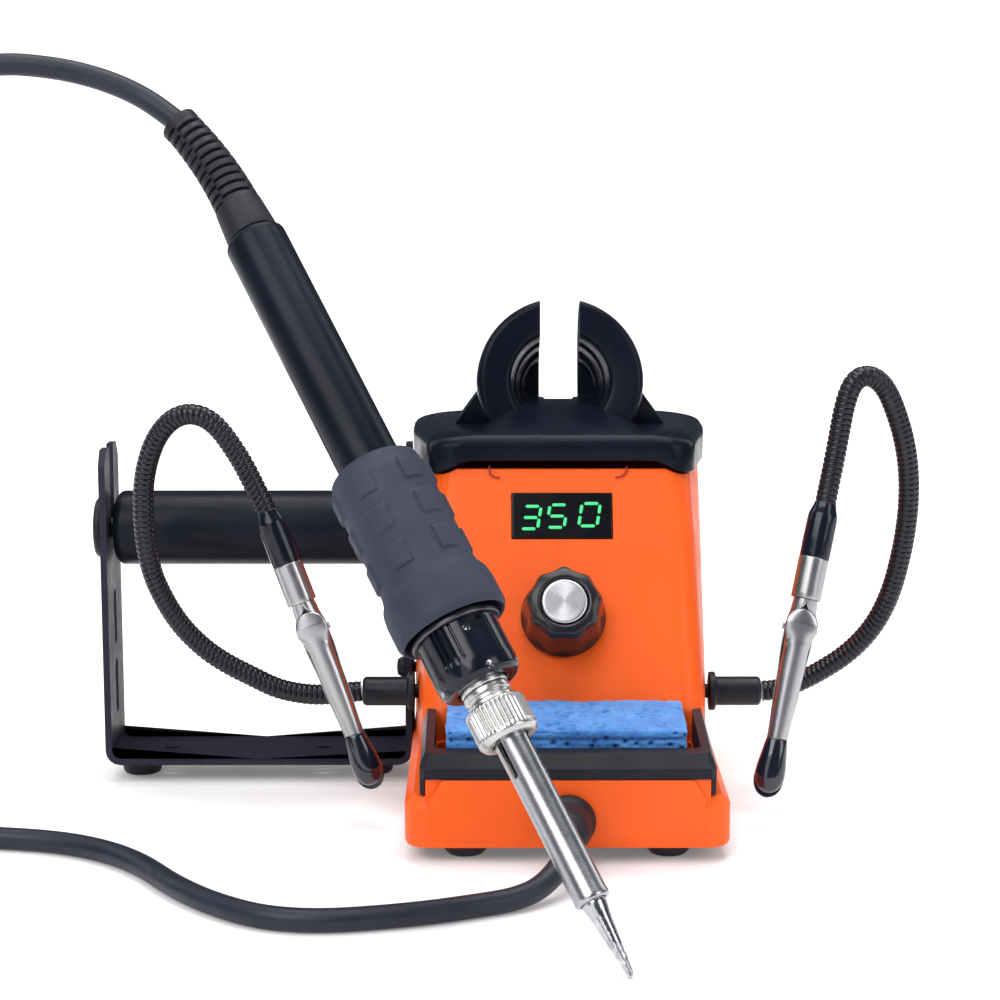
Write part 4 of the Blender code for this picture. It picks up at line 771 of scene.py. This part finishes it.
for side, sign in (("left", -1), ("right", 1)):
    ferrule = soft([(0, -4.0), (1.9, -4.0), (1.9, 1.3), (5.2, 1.3), (5.2, 2.9), (3.9, 3.2), (3.9, 14.6), (3.2, 15.3), (0, 15.3)], 0.35, steps=3)
    piece("ferrule_" + side, lathe(ferrule, 72), satin_m, "base", "black_satin_plastic", "hand_ferrule_" + side, at=frame_at(mm(sign * 38.3, 60, 29), (sign, 0, 0), (0, 1, 0)))
    points = eased(route([mm(*p) for p in NECKS[side]], PITCH / 6), 160)
    piece("neck_" + side, sweep(points, neck_radius, 22), neck_m, "arm_" + side, "gooseneck_steel", "gooseneck_" + side, sharp=60)
    end = mm(*NECKS[side][-1])
    run = (mm(*ENDS[side]) - end).normalized()
    C = frame_at(end, run)

    def shrink(r, z, a, side=side):
        if r < 2.5:
            return 0.0, 0.0
        fold = 0.05 * noise.noise(Vector((math.cos(a) * 1.4, math.sin(a) * 1.4, z * 0.30 + (9 if side == "left" else 3))))
        return fold + 0.16 * (1 - smoothstep(0.0, 2.0, z)) * math.cos(a * 5) * 0.25, 0.0

    sleeve = dense(soft([(0, -0.9), (2.82, -0.9), (2.95, -0.1), (3.2, 0.8), (3.75, 2.4), (3.88, 4.0), (3.95, 9.0), (3.9, 13.4), (3.7, 14.2), (0, 14.2)], 0.3, steps=3), 0.7)
    piece("sleeve_" + side, lathe(sleeve, 72, shrink), gloss_m, "arm_" + side, "black_gloss_plastic", "hand_sleeve_" + side, at=C)

    # rear jaw: sheet rolled into a socket, wrapped to an open throat, then a channel down to the nose
    def width(z):
        for (z0, w0), (z1, w1) in zip(WIDTHS, WIDTHS[1:]):
            if z <= z1:
                return w0 + (w1 - w0) * smoothstep(z0, z1, z)
        return WIDTHS[-1][1]

    WIDTHS = [(24.2, 2.9), (27.0, 3.15), (31.5, 3.7), (36.0, 3.75), (46.0, 3.2), (62.0, 2.45), (74.0, 1.75)]
    rows = []
    for k in range(64):
        z = 24.0 + 50.0 * k / 63
        w = width(z)
        open_to = 180 - 88 * smoothstep(25.2, 33.0, z)
        depth = 2.9 - 0.15 * smoothstep(25, 33, z) - 1.3 * smoothstep(36, 74, z)
        back = -0.35 * smoothstep(25, 33, z)
        row = []
        for i in range(33):
            phi = math.radians(-open_to + 2 * open_to * i / 32)
            row.append(Vector((w * math.sin(phi), back - depth * math.cos(phi), z)) / 1000)
        rows.append(row)
    shell = strip(rows)
    roll = []
    for z in [13.9, 14.05] + [14.2 + 10.2 * k / 8 for k in range(9)] + [24.55]:
        flare = 0.06 if z in (13.9, 24.55) else 0.0
        roll.append([Vector(((3.92 - 0.36 * i / 60 - flare) * math.cos(math.radians(52 + 380 * i / 60)), (3.92 - 0.36 * i / 60 - flare) * math.sin(math.radians(52 + 380 * i / 60)), z)) / 1000 for i in range(61)])
    jaw = piece("clip_shell_" + side, joined(shell, strip(roll)), nickel_m, "clip_" + side, "nickel_plated_steel", "clip_base_" + side, at=C, sharp=50)
    solid = jaw.modifiers.new("sheet", "SOLIDIFY")
    solid.thickness, solid.offset = 0.00032, 0.0

    # front jaw: thumb pad, then a channel with a domed crest
    PAD = [(27.4, 0.8), (27.6, 1.7), (28.1, 2.5), (29.0, 3.35), (30.0, 3.85), (31.5, 4.15), (33.0, 4.05), (35.0, 3.6), (37.8, 3.25), (44.0, 3.15), (52.0, 2.8), (62.0, 2.2), (74.0, 1.7)]
    CREST = [(27.4, 3.5), (31.0, 4.0), (34.4, 3.75), (37.5, 3.6), (52.0, 2.95), (74.0, 1.9)]

    def along(table, z):
        for (z0, w0), (z1, w1) in zip(table, table[1:]):
            if z <= z1:
                return w0 + (w1 - w0) * (z - z0) / (z1 - z0)
        return table[-1][1]

    rows = []
    for k in range(96):
        z = 27.4 + 46.6 * (k / 95) ** 1.35
        w, crest = along(PAD, z), along(CREST, z)
        drop = 0.75 + (crest - 0.45 - 0.75) * smoothstep(32.5, 38.5, z)
        row = []
        for i in range(25):
            phi = math.radians(-90 + 180 * i / 24)
            x = w * math.sin(phi)
            y = crest - drop * (1 - abs(math.cos(phi)) ** (0.75 if z > 36 else 1.0))
            row.append(Vector((x, y, z)) / 1000)
        rows.append(row)
    lever = piece("clip_lever_" + side, strip(rows), nickel_m, "jaw_" + side, "nickel_plated_steel", "clip_jaw_" + side, at=C, sharp=50)
    solid = lever.modifiers.new("sheet", "SOLIDIFY")
    solid.thickness, solid.offset = 0.00036, -1.0

    wire = []
    for k in range(150):
        a = TAU * 5 * k / 149
        wire.append(C @ (Vector((1.15 * math.cos(a), -1.7 + 4.6 * k / 149, 29.6 + 1.15 * math.sin(a))) / 1000))
    piece("clip_spring_" + side, sweep(wire, lambda s, a: 0.26, 10), lamination_m, "clip_" + side, "nickel_plated_steel")
    kept("clip_pin_" + side, nickel_m)

    for which, sgn, top, body in (("back", -1, 62.5, "clip_"), ("front", 1, 61.0, "jaw_")):
        back = -1.1 if which == "front" else 0.0
        stations = [(top, 2.25, 0.6), (top + 0.25, 2.65, 0.9), (top + 1.2, 2.9, 1.0), (66.0 + back, 3.25, 1.02), (69.6 + back, 3.8, 1.06), (72.2 + back, 3.9, 1.06), (74.0 + back, 3.5, 0.98), (75.4 + back, 2.65, 0.8), (76.2 + back, 1.6, 0.52), (76.6 + back, 0.45, 0.18)]
        rings_ = []
        for z, w, d in stations:
            ring = []
            for i in range(40):
                a = TAU * i / 40
                y = math.sin(a)
                depth = (3.35 if z > top + 3 else 2.95) * d
                yy = 0.18 + depth * (max(y, 0.0) ** 0.85) if y > 0 else 0.18 + 0.12 * y
                ring.append(Vector((w * math.copysign(abs(math.cos(a)) ** 0.9, math.cos(a)), sgn * yy, z)) / 1000)
            rings_.append(ring)
        fine = []
        for r0, r1 in zip(rings_, rings_[1:]):
            fine += [[p.lerp(q, t) for p, q in zip(r0, r1)] for t in (0.0, 0.5)]
        fine.append(rings_[-1])
        boot = piece(f"boot_{which}_{side}", loft(fine), vinyl_m, body + side, "clip_boot_vinyl", f"clip_boot_{which}_{side}", at=C, sharp=70)
        boot.modifiers.new("round", "SUBSURF").levels = 1
        boot.modifiers["round"].render_levels = 1

# ------------------------------------------------------------------ the iron
axis = tuple(TAIL)
chrome_m = metal("bright_steel", (0.43, 0.435, 0.455), 0.27, axis=axis, lines=1800.0, depth=0.000006, tint=0.08)
turned_m = metal("turned_nickel", (0.56, 0.555, 0.54), 0.28, axis=axis, lines=2600.0, depth=0.00002, tint=0.12)
satin_steel_m = metal("satin_steel", (0.10, 0.10, 0.11), 0.34, axis=axis, lines=1500.0)

tip_shader = Shader("tip_plating", (0.62, 0.62, 0.64), 0.2, 1.0)
dot = tip_shader.n.new("ShaderNodeVectorMath")
dot.operation = "DOT_PRODUCT"
dot.inputs[1].default_value = axis
tip_shader.l.new(tip_shader.coord.outputs["Object"], dot.inputs[0])
start = TAIL.dot(mm(11.4, -78.9, 0.35))
reach = tip_shader.ramp(dot.outputs["Value"], start + 0.0072, start + 0.0104)
ragged = tip_shader.math("ADD", reach, tip_shader.math("MULTIPLY", tip_shader.noise(420.0, 3.0), 0.8))
bare = tip_shader.ramp(ragged, 0.45, 0.75)
tinned = tip_shader.mix(tip_shader.ramp(tip_shader.noise(800.0, 5.0), 0.35, 0.65), (0.42, 0.42, 0.43), (0.80, 0.80, 0.80))
plated = tip_shader.mix(tip_shader.ramp(tip_shader.noise(170.0, 5.0), 0.3, 0.7), (0.34, 0.34, 0.37), (0.60, 0.60, 0.62))
tip_shader.colour(tip_shader.mix(bare, tinned, plated))
tip_shader.rough(tip_shader.ramp(bare, 0, 1, 0.34, 0.17))
tip_shader.bump(tip_shader.noise(1500.0, 5.0), 0.00006, 0.7)


def solder(r, z, a):
    if z > 10 or r < 0.2:
        return 0.0, 0.0
    return 0.10 * noise.noise(Vector((math.cos(a) * 1.3, math.sin(a) * 1.3, z * 0.9))) * (1 - smoothstep(7.5, 10, z)), 0.0


profile = dense(soft([(0, 0), (0.55, 0.1), (0.8, 0.8), (2.3, 14.6), (2.85, 17.6), (2.85, 46.9), (0, 46.9)], 0.4, steps=3), 0.4, 0, 20)
piece("bit", lathe(profile, 72, solder), tip_shader.m, "iron", "tinned_copper", "tip", at=IRON)

sheath = piece("bit_sleeve", lathe(soft([(3.15, 18.3), (3.85, 18.3), (4.15, 18.9), (4.15, 19.6), (4.03, 20.3), (4.03, 60.7), (5.65, 60.7), (5.65, 61.8), (3.15, 61.8)], 0.25, closed=True, steps=3), 96, closed=True), chrome_m, "iron", "stainless_steel", "tip_sheath")
for delta in (-50, 70, 190):
    a = math.radians(delta - 90)
    slot_ring = []
    for i in range(20):
        b = TAU * i / 20
        slot_ring.append((0.8 * math.cos(b), 54.75 + math.copysign(3.95, math.sin(b)) + 0.8 * math.sin(b)))
    cutter = loft([[Matrix.Rotation(a, 3, "Z") @ (Vector((x, t, z)) / 1000) for t, z in slot_ring] for x in (2.0, 6.0)])
    boolean(sheath, cutter)
sheath.data.transform(IRON)
sheath.data.set_sharp_from_angle(angle=math.radians(36))


def knurl(r, z, a):
    if r < 6.9 or z < 60.6:
        return 0.0, 0.0
    wave = abs(((a / TAU * 38) % 1.0) * 2 - 1)
    return -0.42 * smoothstep(0.35, 0.95, 1 - wave) * smoothstep(60.7, 61.3, z) * (1 - smoothstep(67.1, 67.7, z)), 0.0


profile = dense(soft([(4.4, 59.1), (6.4, 59.1), (7.2, 60.2), (7.2, 67.7), (6.8, 68.1), (6.0, 68.1), (6.0, 60.4), (4.4, 60.4)], 0.2, closed=True, steps=2), 0.45, 60, 68.2)
piece("lock_nut", lathe(profile, 38 * 8, knurl, closed=True), turned_m, "nut", "nickel_plated_steel", "sheath_nut", at=IRON, sharp=50)

neck_profile = [(2.2, 62.2), (5.65, 62.2), (5.65, 69.2), (5.25, 69.5), (5.25, 70.3), (5.65, 70.6), (5.65, 71.9), (5.45, 72.1), (5.45, 72.4), (5.65, 72.6), (5.65, 83.6), (2.2, 83.6)]
piece("bit_neck", lathe(soft(neck_profile, 0.12, closed=True), 96, closed=True), turned_m, "iron", "nickel_plated_steel", "heater_neck", at=IRON)


def ribs(r, z, a):
    if r < 9.4 or z < 78:
        return 0.0, 0.0
    delta = math.degrees(a) + 90
    best = min(((delta - c + 180) % 360 - 180 for c in (-30, 90, 210)), key=abs)
    if abs(best) > 19:
        return 0.0, 0.0
    cell = (best + 19) % 9.5
    groove = smoothstep(5.6, 6.4, cell) * (1 - smoothstep(8.6, 9.4, cell))
    return -0.62 * groove * smoothstep(78.2, 79.0, z) * (1 - smoothstep(95, 95.6, z)), 0.0


profile = dense(soft([(6.0, 73.3), (8.6, 73.3), (9.6, 74.4), (9.95, 77.0), (9.95, 97.7), (6.0, 97.7)], 0.5, closed=True, steps=3), 0.8, 77, 97)
collar = piece("collar", lathe(profile, 240, ribs, closed=True), gloss_m, "iron", "black_gloss_plastic", "front_collar", at=IRON, sharp=45)
# the two halves' parting grooves and a small latch window, cut through the skin
for delta in (42, 100, 222, 282):
    a = math.radians(delta - 90)
    boolean(collar, block(9.5, 11.0, -0.22, 0.22, 76.5, 86.4), "DIFFERENCE", IRON @ Matrix.Rotation(a, 4, "Z"))
for delta in (22, 142, 262):
    a = math.radians(delta - 90)
    boolean(collar, block(8.9, 11.0, -1.7, 1.7, 83.4, 86.4), "DIFFERENCE", IRON @ Matrix.Rotation(a, 4, "Z"))
ring = soft([(9.97, 87.2), (10.75, 87.2), (10.95, 87.5), (10.95, 88.6), (10.75, 88.9), (9.97, 88.9)], 0.15, closed=True)
piece("collar_band", lathe(ring, 96, closed=True), satin_steel_m, "iron", "stainless_steel", at=IRON)


def phillips(r, z, a):
    x, y = r * math.cos(a), r * math.sin(a)
    if r < 0.95 and min(abs(x), abs(y)) < 0.2:
        return 0.0, -0.5
    return 0.0, 0.0


screws = []
head = [(0, 0.75)] + [(0.12 * k, 0.75 - 0.012 * k * k * 0.55) for k in range(1, 10)] + [(1.22, 0.15), (1.30, -0.2), (1.30, -0.7), (0, -0.7)]
for delta in (-76, 14, 72, 194):
    a = math.radians(delta - 90)
    out = Vector((math.cos(a), math.sin(a), 0))
    at = frame_at(out * 0.0089 + Vector((0, 0, 0.0745)), out * 0.62 + Vector((0, 0, -0.78)), (0.3, 0.2, 1))
    screws.append(moved(lathe(head, 64, phillips), at))
for delta in (8, 128, 248):
    a = math.radians(delta - 90)
    out = Vector((math.cos(a), math.sin(a), 0))
    at = frame_at(out * 0.0098 + Vector((0, 0, 0.0846)), out, (0, 0, 1))
    small = [(r * 0.72, z * 0.8) for r, z in head]
    screws.append(moved(lathe(small, 48, phillips), at))
piece("collar_screws", joined(*screws), chrome_m, "iron", "nickel_plated_steel", at=IRON, sharp=50)

PAD_ROWS = ((103.9, 110.0), (113.5, 119.8), (123.2, 129.2))


def pads(r, z, a):
    if r < 10.5 or not 103 < z < 130:
        return 0.0, 0.0
    delta = math.degrees(a) + 90
    off = abs((delta + 25.5 + 30) % 60 - 30)
    across = 1 - smoothstep(11.8, 12.7, off)
    rise = max(smoothstep(lo - 0.15, lo + 0.25, z) * (1 - smoothstep(hi - 0.25, hi + 0.15, z)) for lo, hi in PAD_ROWS)
    return 0.62 * across * rise, 0.0


outer = soft([(12.2, 88.7), (12.75, 88.3), (13.6, 89.6), (13.6, 95.6), (13.2, 98.6), (12.2, 100.3), (11.75, 102.4), (11.65, 104.9), (11.75, 128.0), (10.9, 132.2), (9.15, 133.5), (8.0, 133.5)], 0.7, steps=4)
profile = dense(outer, 0.42, 102.5, 130.5) + [(8.0, 98.1), (10.3, 98.1), (10.3, 97.0), (11.6, 91.0), (12.05, 89.0)]
piece("grip_sleeve", lathe(profile, 216, pads, closed=True), grip_m, "iron", "grip_rubber", "grip", at=IRON, sharp=30)

profile = soft([(6.2, 98.8), (7.6, 98.8), (7.65, 200.7), (6.9, 201.8), (6.2, 201.8)], 0.5, closed=True, steps=3)
piece("handle", lathe(profile, 96, closed=True), handle_m, "iron", "black_gloss_plastic", "handle_tube", at=IRON)


def relief_ribs(r, z, a):
    """Rings broken into quarters, every other quarter half a pitch on."""
    if not 211.6 < z < 238.2 or r < 3:
        return 0.0, 0.0
    quarter = int(((a + 0.6) % TAU) // (TAU / 4)) % 2
    phase = ((z - 212.2) / 2.6 + 0.5 * quarter) % 1.0
    groove = smoothstep(0.60, 0.70, phase) * (1 - smoothstep(0.93, 1.0, phase))
    edge = (a + 0.6) % (TAU / 4)
    gap = 1.0 if 0.06 < edge < TAU / 4 - 0.06 else 0.6
    return (-0.95 * groove) * gap - (0.0 if gap == 1.0 else 0.12), 0.0


profile = dense(soft([(0, 197.6), (5.8, 197.6), (5.8, 202.2), (6.5, 202.2), (6.5, 203.7), (5.95, 211.2), (5.75, 212.2), (4.85, 238.2), (4.9, 238.4), (4.9, 240.2), (3.0, 240.2), (3.0, 239.0), (0, 239.0)], 0.3, steps=2), 0.26, 211, 239)
verts, faces = lathe(profile, 96, relief_ribs)
verts = [tuple(bent(Vector(v))) for v in verts]
piece("cord_relief", (verts, faces), rubber_m, "iron", "black_rubber", "strain_relief", at=IRON, sharp=40)

# ------------------------------------------------------------------ sponge
bm = bmesh.new()
bmesh.ops.create_cube(bm, size=1)
x0, x1, y0, y1, z0, z1 = -30.6, 30.6, 10.6, 35.2, 15.0, 31.4
for v in bm.verts:
    y = y0 + (v.co.y + 0.5) * (y1 - y0)
    top = 31.3 + 0.075 * (y - y0)
    v.co = mm(x0 + (v.co.x + 0.5) * (x1 - x0), y, z0 if v.co.z < 0 else top)
bmesh.ops.bevel(bm, geom=bm.edges[:], offset=0.0012, segments=3, affect="EDGES", profile=0.6)
mesh = bpy.data.meshes.new("sponge_block")
bm.to_mesh(mesh)
bm.free()
sponge = bpy.data.objects.new("sponge_block", mesh)
bpy.context.scene.collection.objects.link(sponge)
remesh = sponge.modifiers.new("grid", "REMESH")
remesh.mode, remesh.voxel_size = "VOXEL", 0.00042
bpy.context.view_layer.update()
mesh = bpy.data.meshes.new_from_object(sponge.evaluated_get(bpy.context.evaluated_depsgraph_get()))
sponge.modifiers.clear()
sponge.data = mesh
normals = [v.normal.copy() for v in mesh.vertices]
for v, normal in zip(mesh.vertices, normals):
    p = v.co * 1000
    push = 0.45 * noise.noise(p * 0.16) + 0.22 * noise.noise(p * 0.7) - 0.35
    near = noise.voronoi(Vector((p.x * 0.30, p.y * 0.42, p.z * 0.42)))[0][0]
    size = 0.36 + 0.20 * noise.noise(p * 0.11 + Vector((4, 1, 7)))
    push -= 1.25 * (1 - smoothstep(size * 0.45, size, near))
    small = noise.voronoi(Vector((p.x * 0.85, p.y * 1.15, p.z * 1.15)))[0][0]
    push -= 0.42 * (1 - smoothstep(0.12, 0.30, small))
    y = p.y + 25.63
    crown = 0.9 * (1 - ((p.x - 17.14) / 30.6) ** 2) * (1 - ((y - 22.9) / 12.3) ** 2) if normal.z > 0.5 else 0.0
    crease = 0.9 * math.exp(-((p.z - 28.6 - 0.35 * noise.noise(Vector((p.x * 0.08, 0, 3)))) / 0.45) ** 2) if normal.z < 0.5 else 0.0
    v.co += normal * ((push - crease) / 1000) + Vector((0, 0, crown / 1000))
mesh.shade_smooth()
cellulose = Shader("cellulose", (0.10, 0.42, 0.86), 0.85, sheen_weight=0.25, sheen_roughness=0.5)
hollow = cellulose.n.new("ShaderNodeNewGeometry")
tone = cellulose.mix(cellulose.ramp(cellulose.noise(160.0, 7.0, 0.65), 0.32, 0.66), (0.030, 0.17, 0.54), (0.095, 0.33, 0.76))
# painted shade: the colour darkens where the surface is hollow, in the pores, standing in for the shade that falls into
# them
pore_shade_mask = cellulose.ramp(hollow.outputs["Pointiness"], 0.49, 0.42)
tone = cellulose.mix(pore_shade_mask, tone, (0.008, 0.095, 0.36))
fibres = cellulose.ramp(cellulose.noise(700.0, 6.0, 0.7, (1, 3, 3)), 0.55, 0.75)
tone = cellulose.mix(cellulose.math("MULTIPLY", fibres, 0.35), tone, (0.16, 0.44, 0.88))
cellulose.colour(tone)
cellulose.rough(cellulose.ramp(cellulose.noise(300.0, 4.0), 0.3, 0.7, 0.7, 0.95))
cellulose.bump(cellulose.noise(1400.0, 6.0, 0.7), 0.0003, 0.8)
cellulose.bump(cellulose.cells(1100.0), 0.0002, 0.6)
sponge.data.materials.clear()
sponge.data.materials.append(cellulose.m)
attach(sponge, "sponge")
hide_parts("sponge")

# ------------------------------------------------------------------ stage and light
pale = Shader("stage_paper", (0.86, 0.86, 0.865), 0.9)
pale.colour(pale.mix(pale.ramp(pale.noise(6.0, 3.0), 0.3, 0.7), (0.85, 0.85, 0.855), (0.875, 0.875, 0.88)))
pale.bump(pale.noise(500.0, 3.0), 0.00005, 0.3)
pale.b.inputs["Specular IOR Level"].default_value = 0.1
pale.b.inputs["Emission Color"].default_value = (1, 1, 1, 1)
pale.b.inputs["Emission Strength"].default_value = 0.14
floor_rows = [[Vector((x, y, 0)) for x in (-3.4, -1.2, 0.0, 1.2, 3.4)] for y in (-3.0, -1.0, 0.0, 0.9)]
profile = [(0.9, 0.0)] + [(1.6 + 0.9 * math.sin(a), 0.9 - 0.9 * math.cos(a)) for a in [math.radians(9 * k) for k in range(11)]] + [(2.5, 3.2)]
wall_rows = [[Vector((x, y, z)) for x in (-3.4, -1.2, 0.0, 1.2, 3.4)] for y, z in profile]
for name, rows in (("stage_floor", floor_rows), ("stage_backdrop", wall_rows)):
    sheet = bpy.data.objects.new(name, mesh_of(name, strip(rows)))
    sheet.data.materials.append(pale.m)
    bpy.context.scene.collection.objects.link(sheet)
    # the backdrop isn't mirrored in the gloss, as a flag in a studio would hide it
    sheet.visible_glossy = name == "stage_floor"

world = bpy.data.worlds.new("world")
bpy.context.scene.world = world
world.use_nodes = True
world.node_tree.nodes["Background"].inputs["Color"].default_value = (0.085, 0.095, 0.12, 1)
world.node_tree.nodes["Background"].inputs["Strength"].default_value = 1.0


def softbox(name, at, target, size, power, colour=(1, 1, 1)):
    light = bpy.data.lights.new(name, "AREA")
    light.shape, light.size, light.size_y = "RECTANGLE", *size
    light.energy, light.color = power, colour
    obj = bpy.data.objects.new(name, light)
    obj.location = at
    obj.rotation_euler = (Vector(target) - Vector(at)).to_track_quat("-Z", "Y").to_euler()
    bpy.context.scene.collection.objects.link(obj)


softbox("key", (-1.15, -1.45, 1.75), (0, 0, 0.08), (2.0, 1.5), 41)
softbox("top", (0.1, 0.1, 2.1), (0, 0.05, 0), (1.8, 1.5), 31)
softbox("fill", (1.7, -1.2, 1.0), (0, 0, 0.08), (1.1, 1.5), 15)
softbox("front", (-0.9, -1.9, 0.55), (0, 0, 0.08), (0.9, 1.3), 5)
softbox("rim_left", (-1.5, 0.9, 0.9), (0, 0, 0.1), (0.45, 1.5), 5)
softbox("rim_right", (1.4, 1.0, 1.0), (0, 0, 0.1), (0.45, 1.5), 5)
softbox("backdrop", (0, 0.9, 2.0), (0, 2.6, 0.5), (2.4, 0.8), 34)

bpy.context.scene.view_settings.view_transform = "Standard"
bpy.context.scene.view_settings.look = "None"
bpy.context.scene.view_settings.exposure = 0.0
bpy.context.scene.view_settings.gamma = 1.0
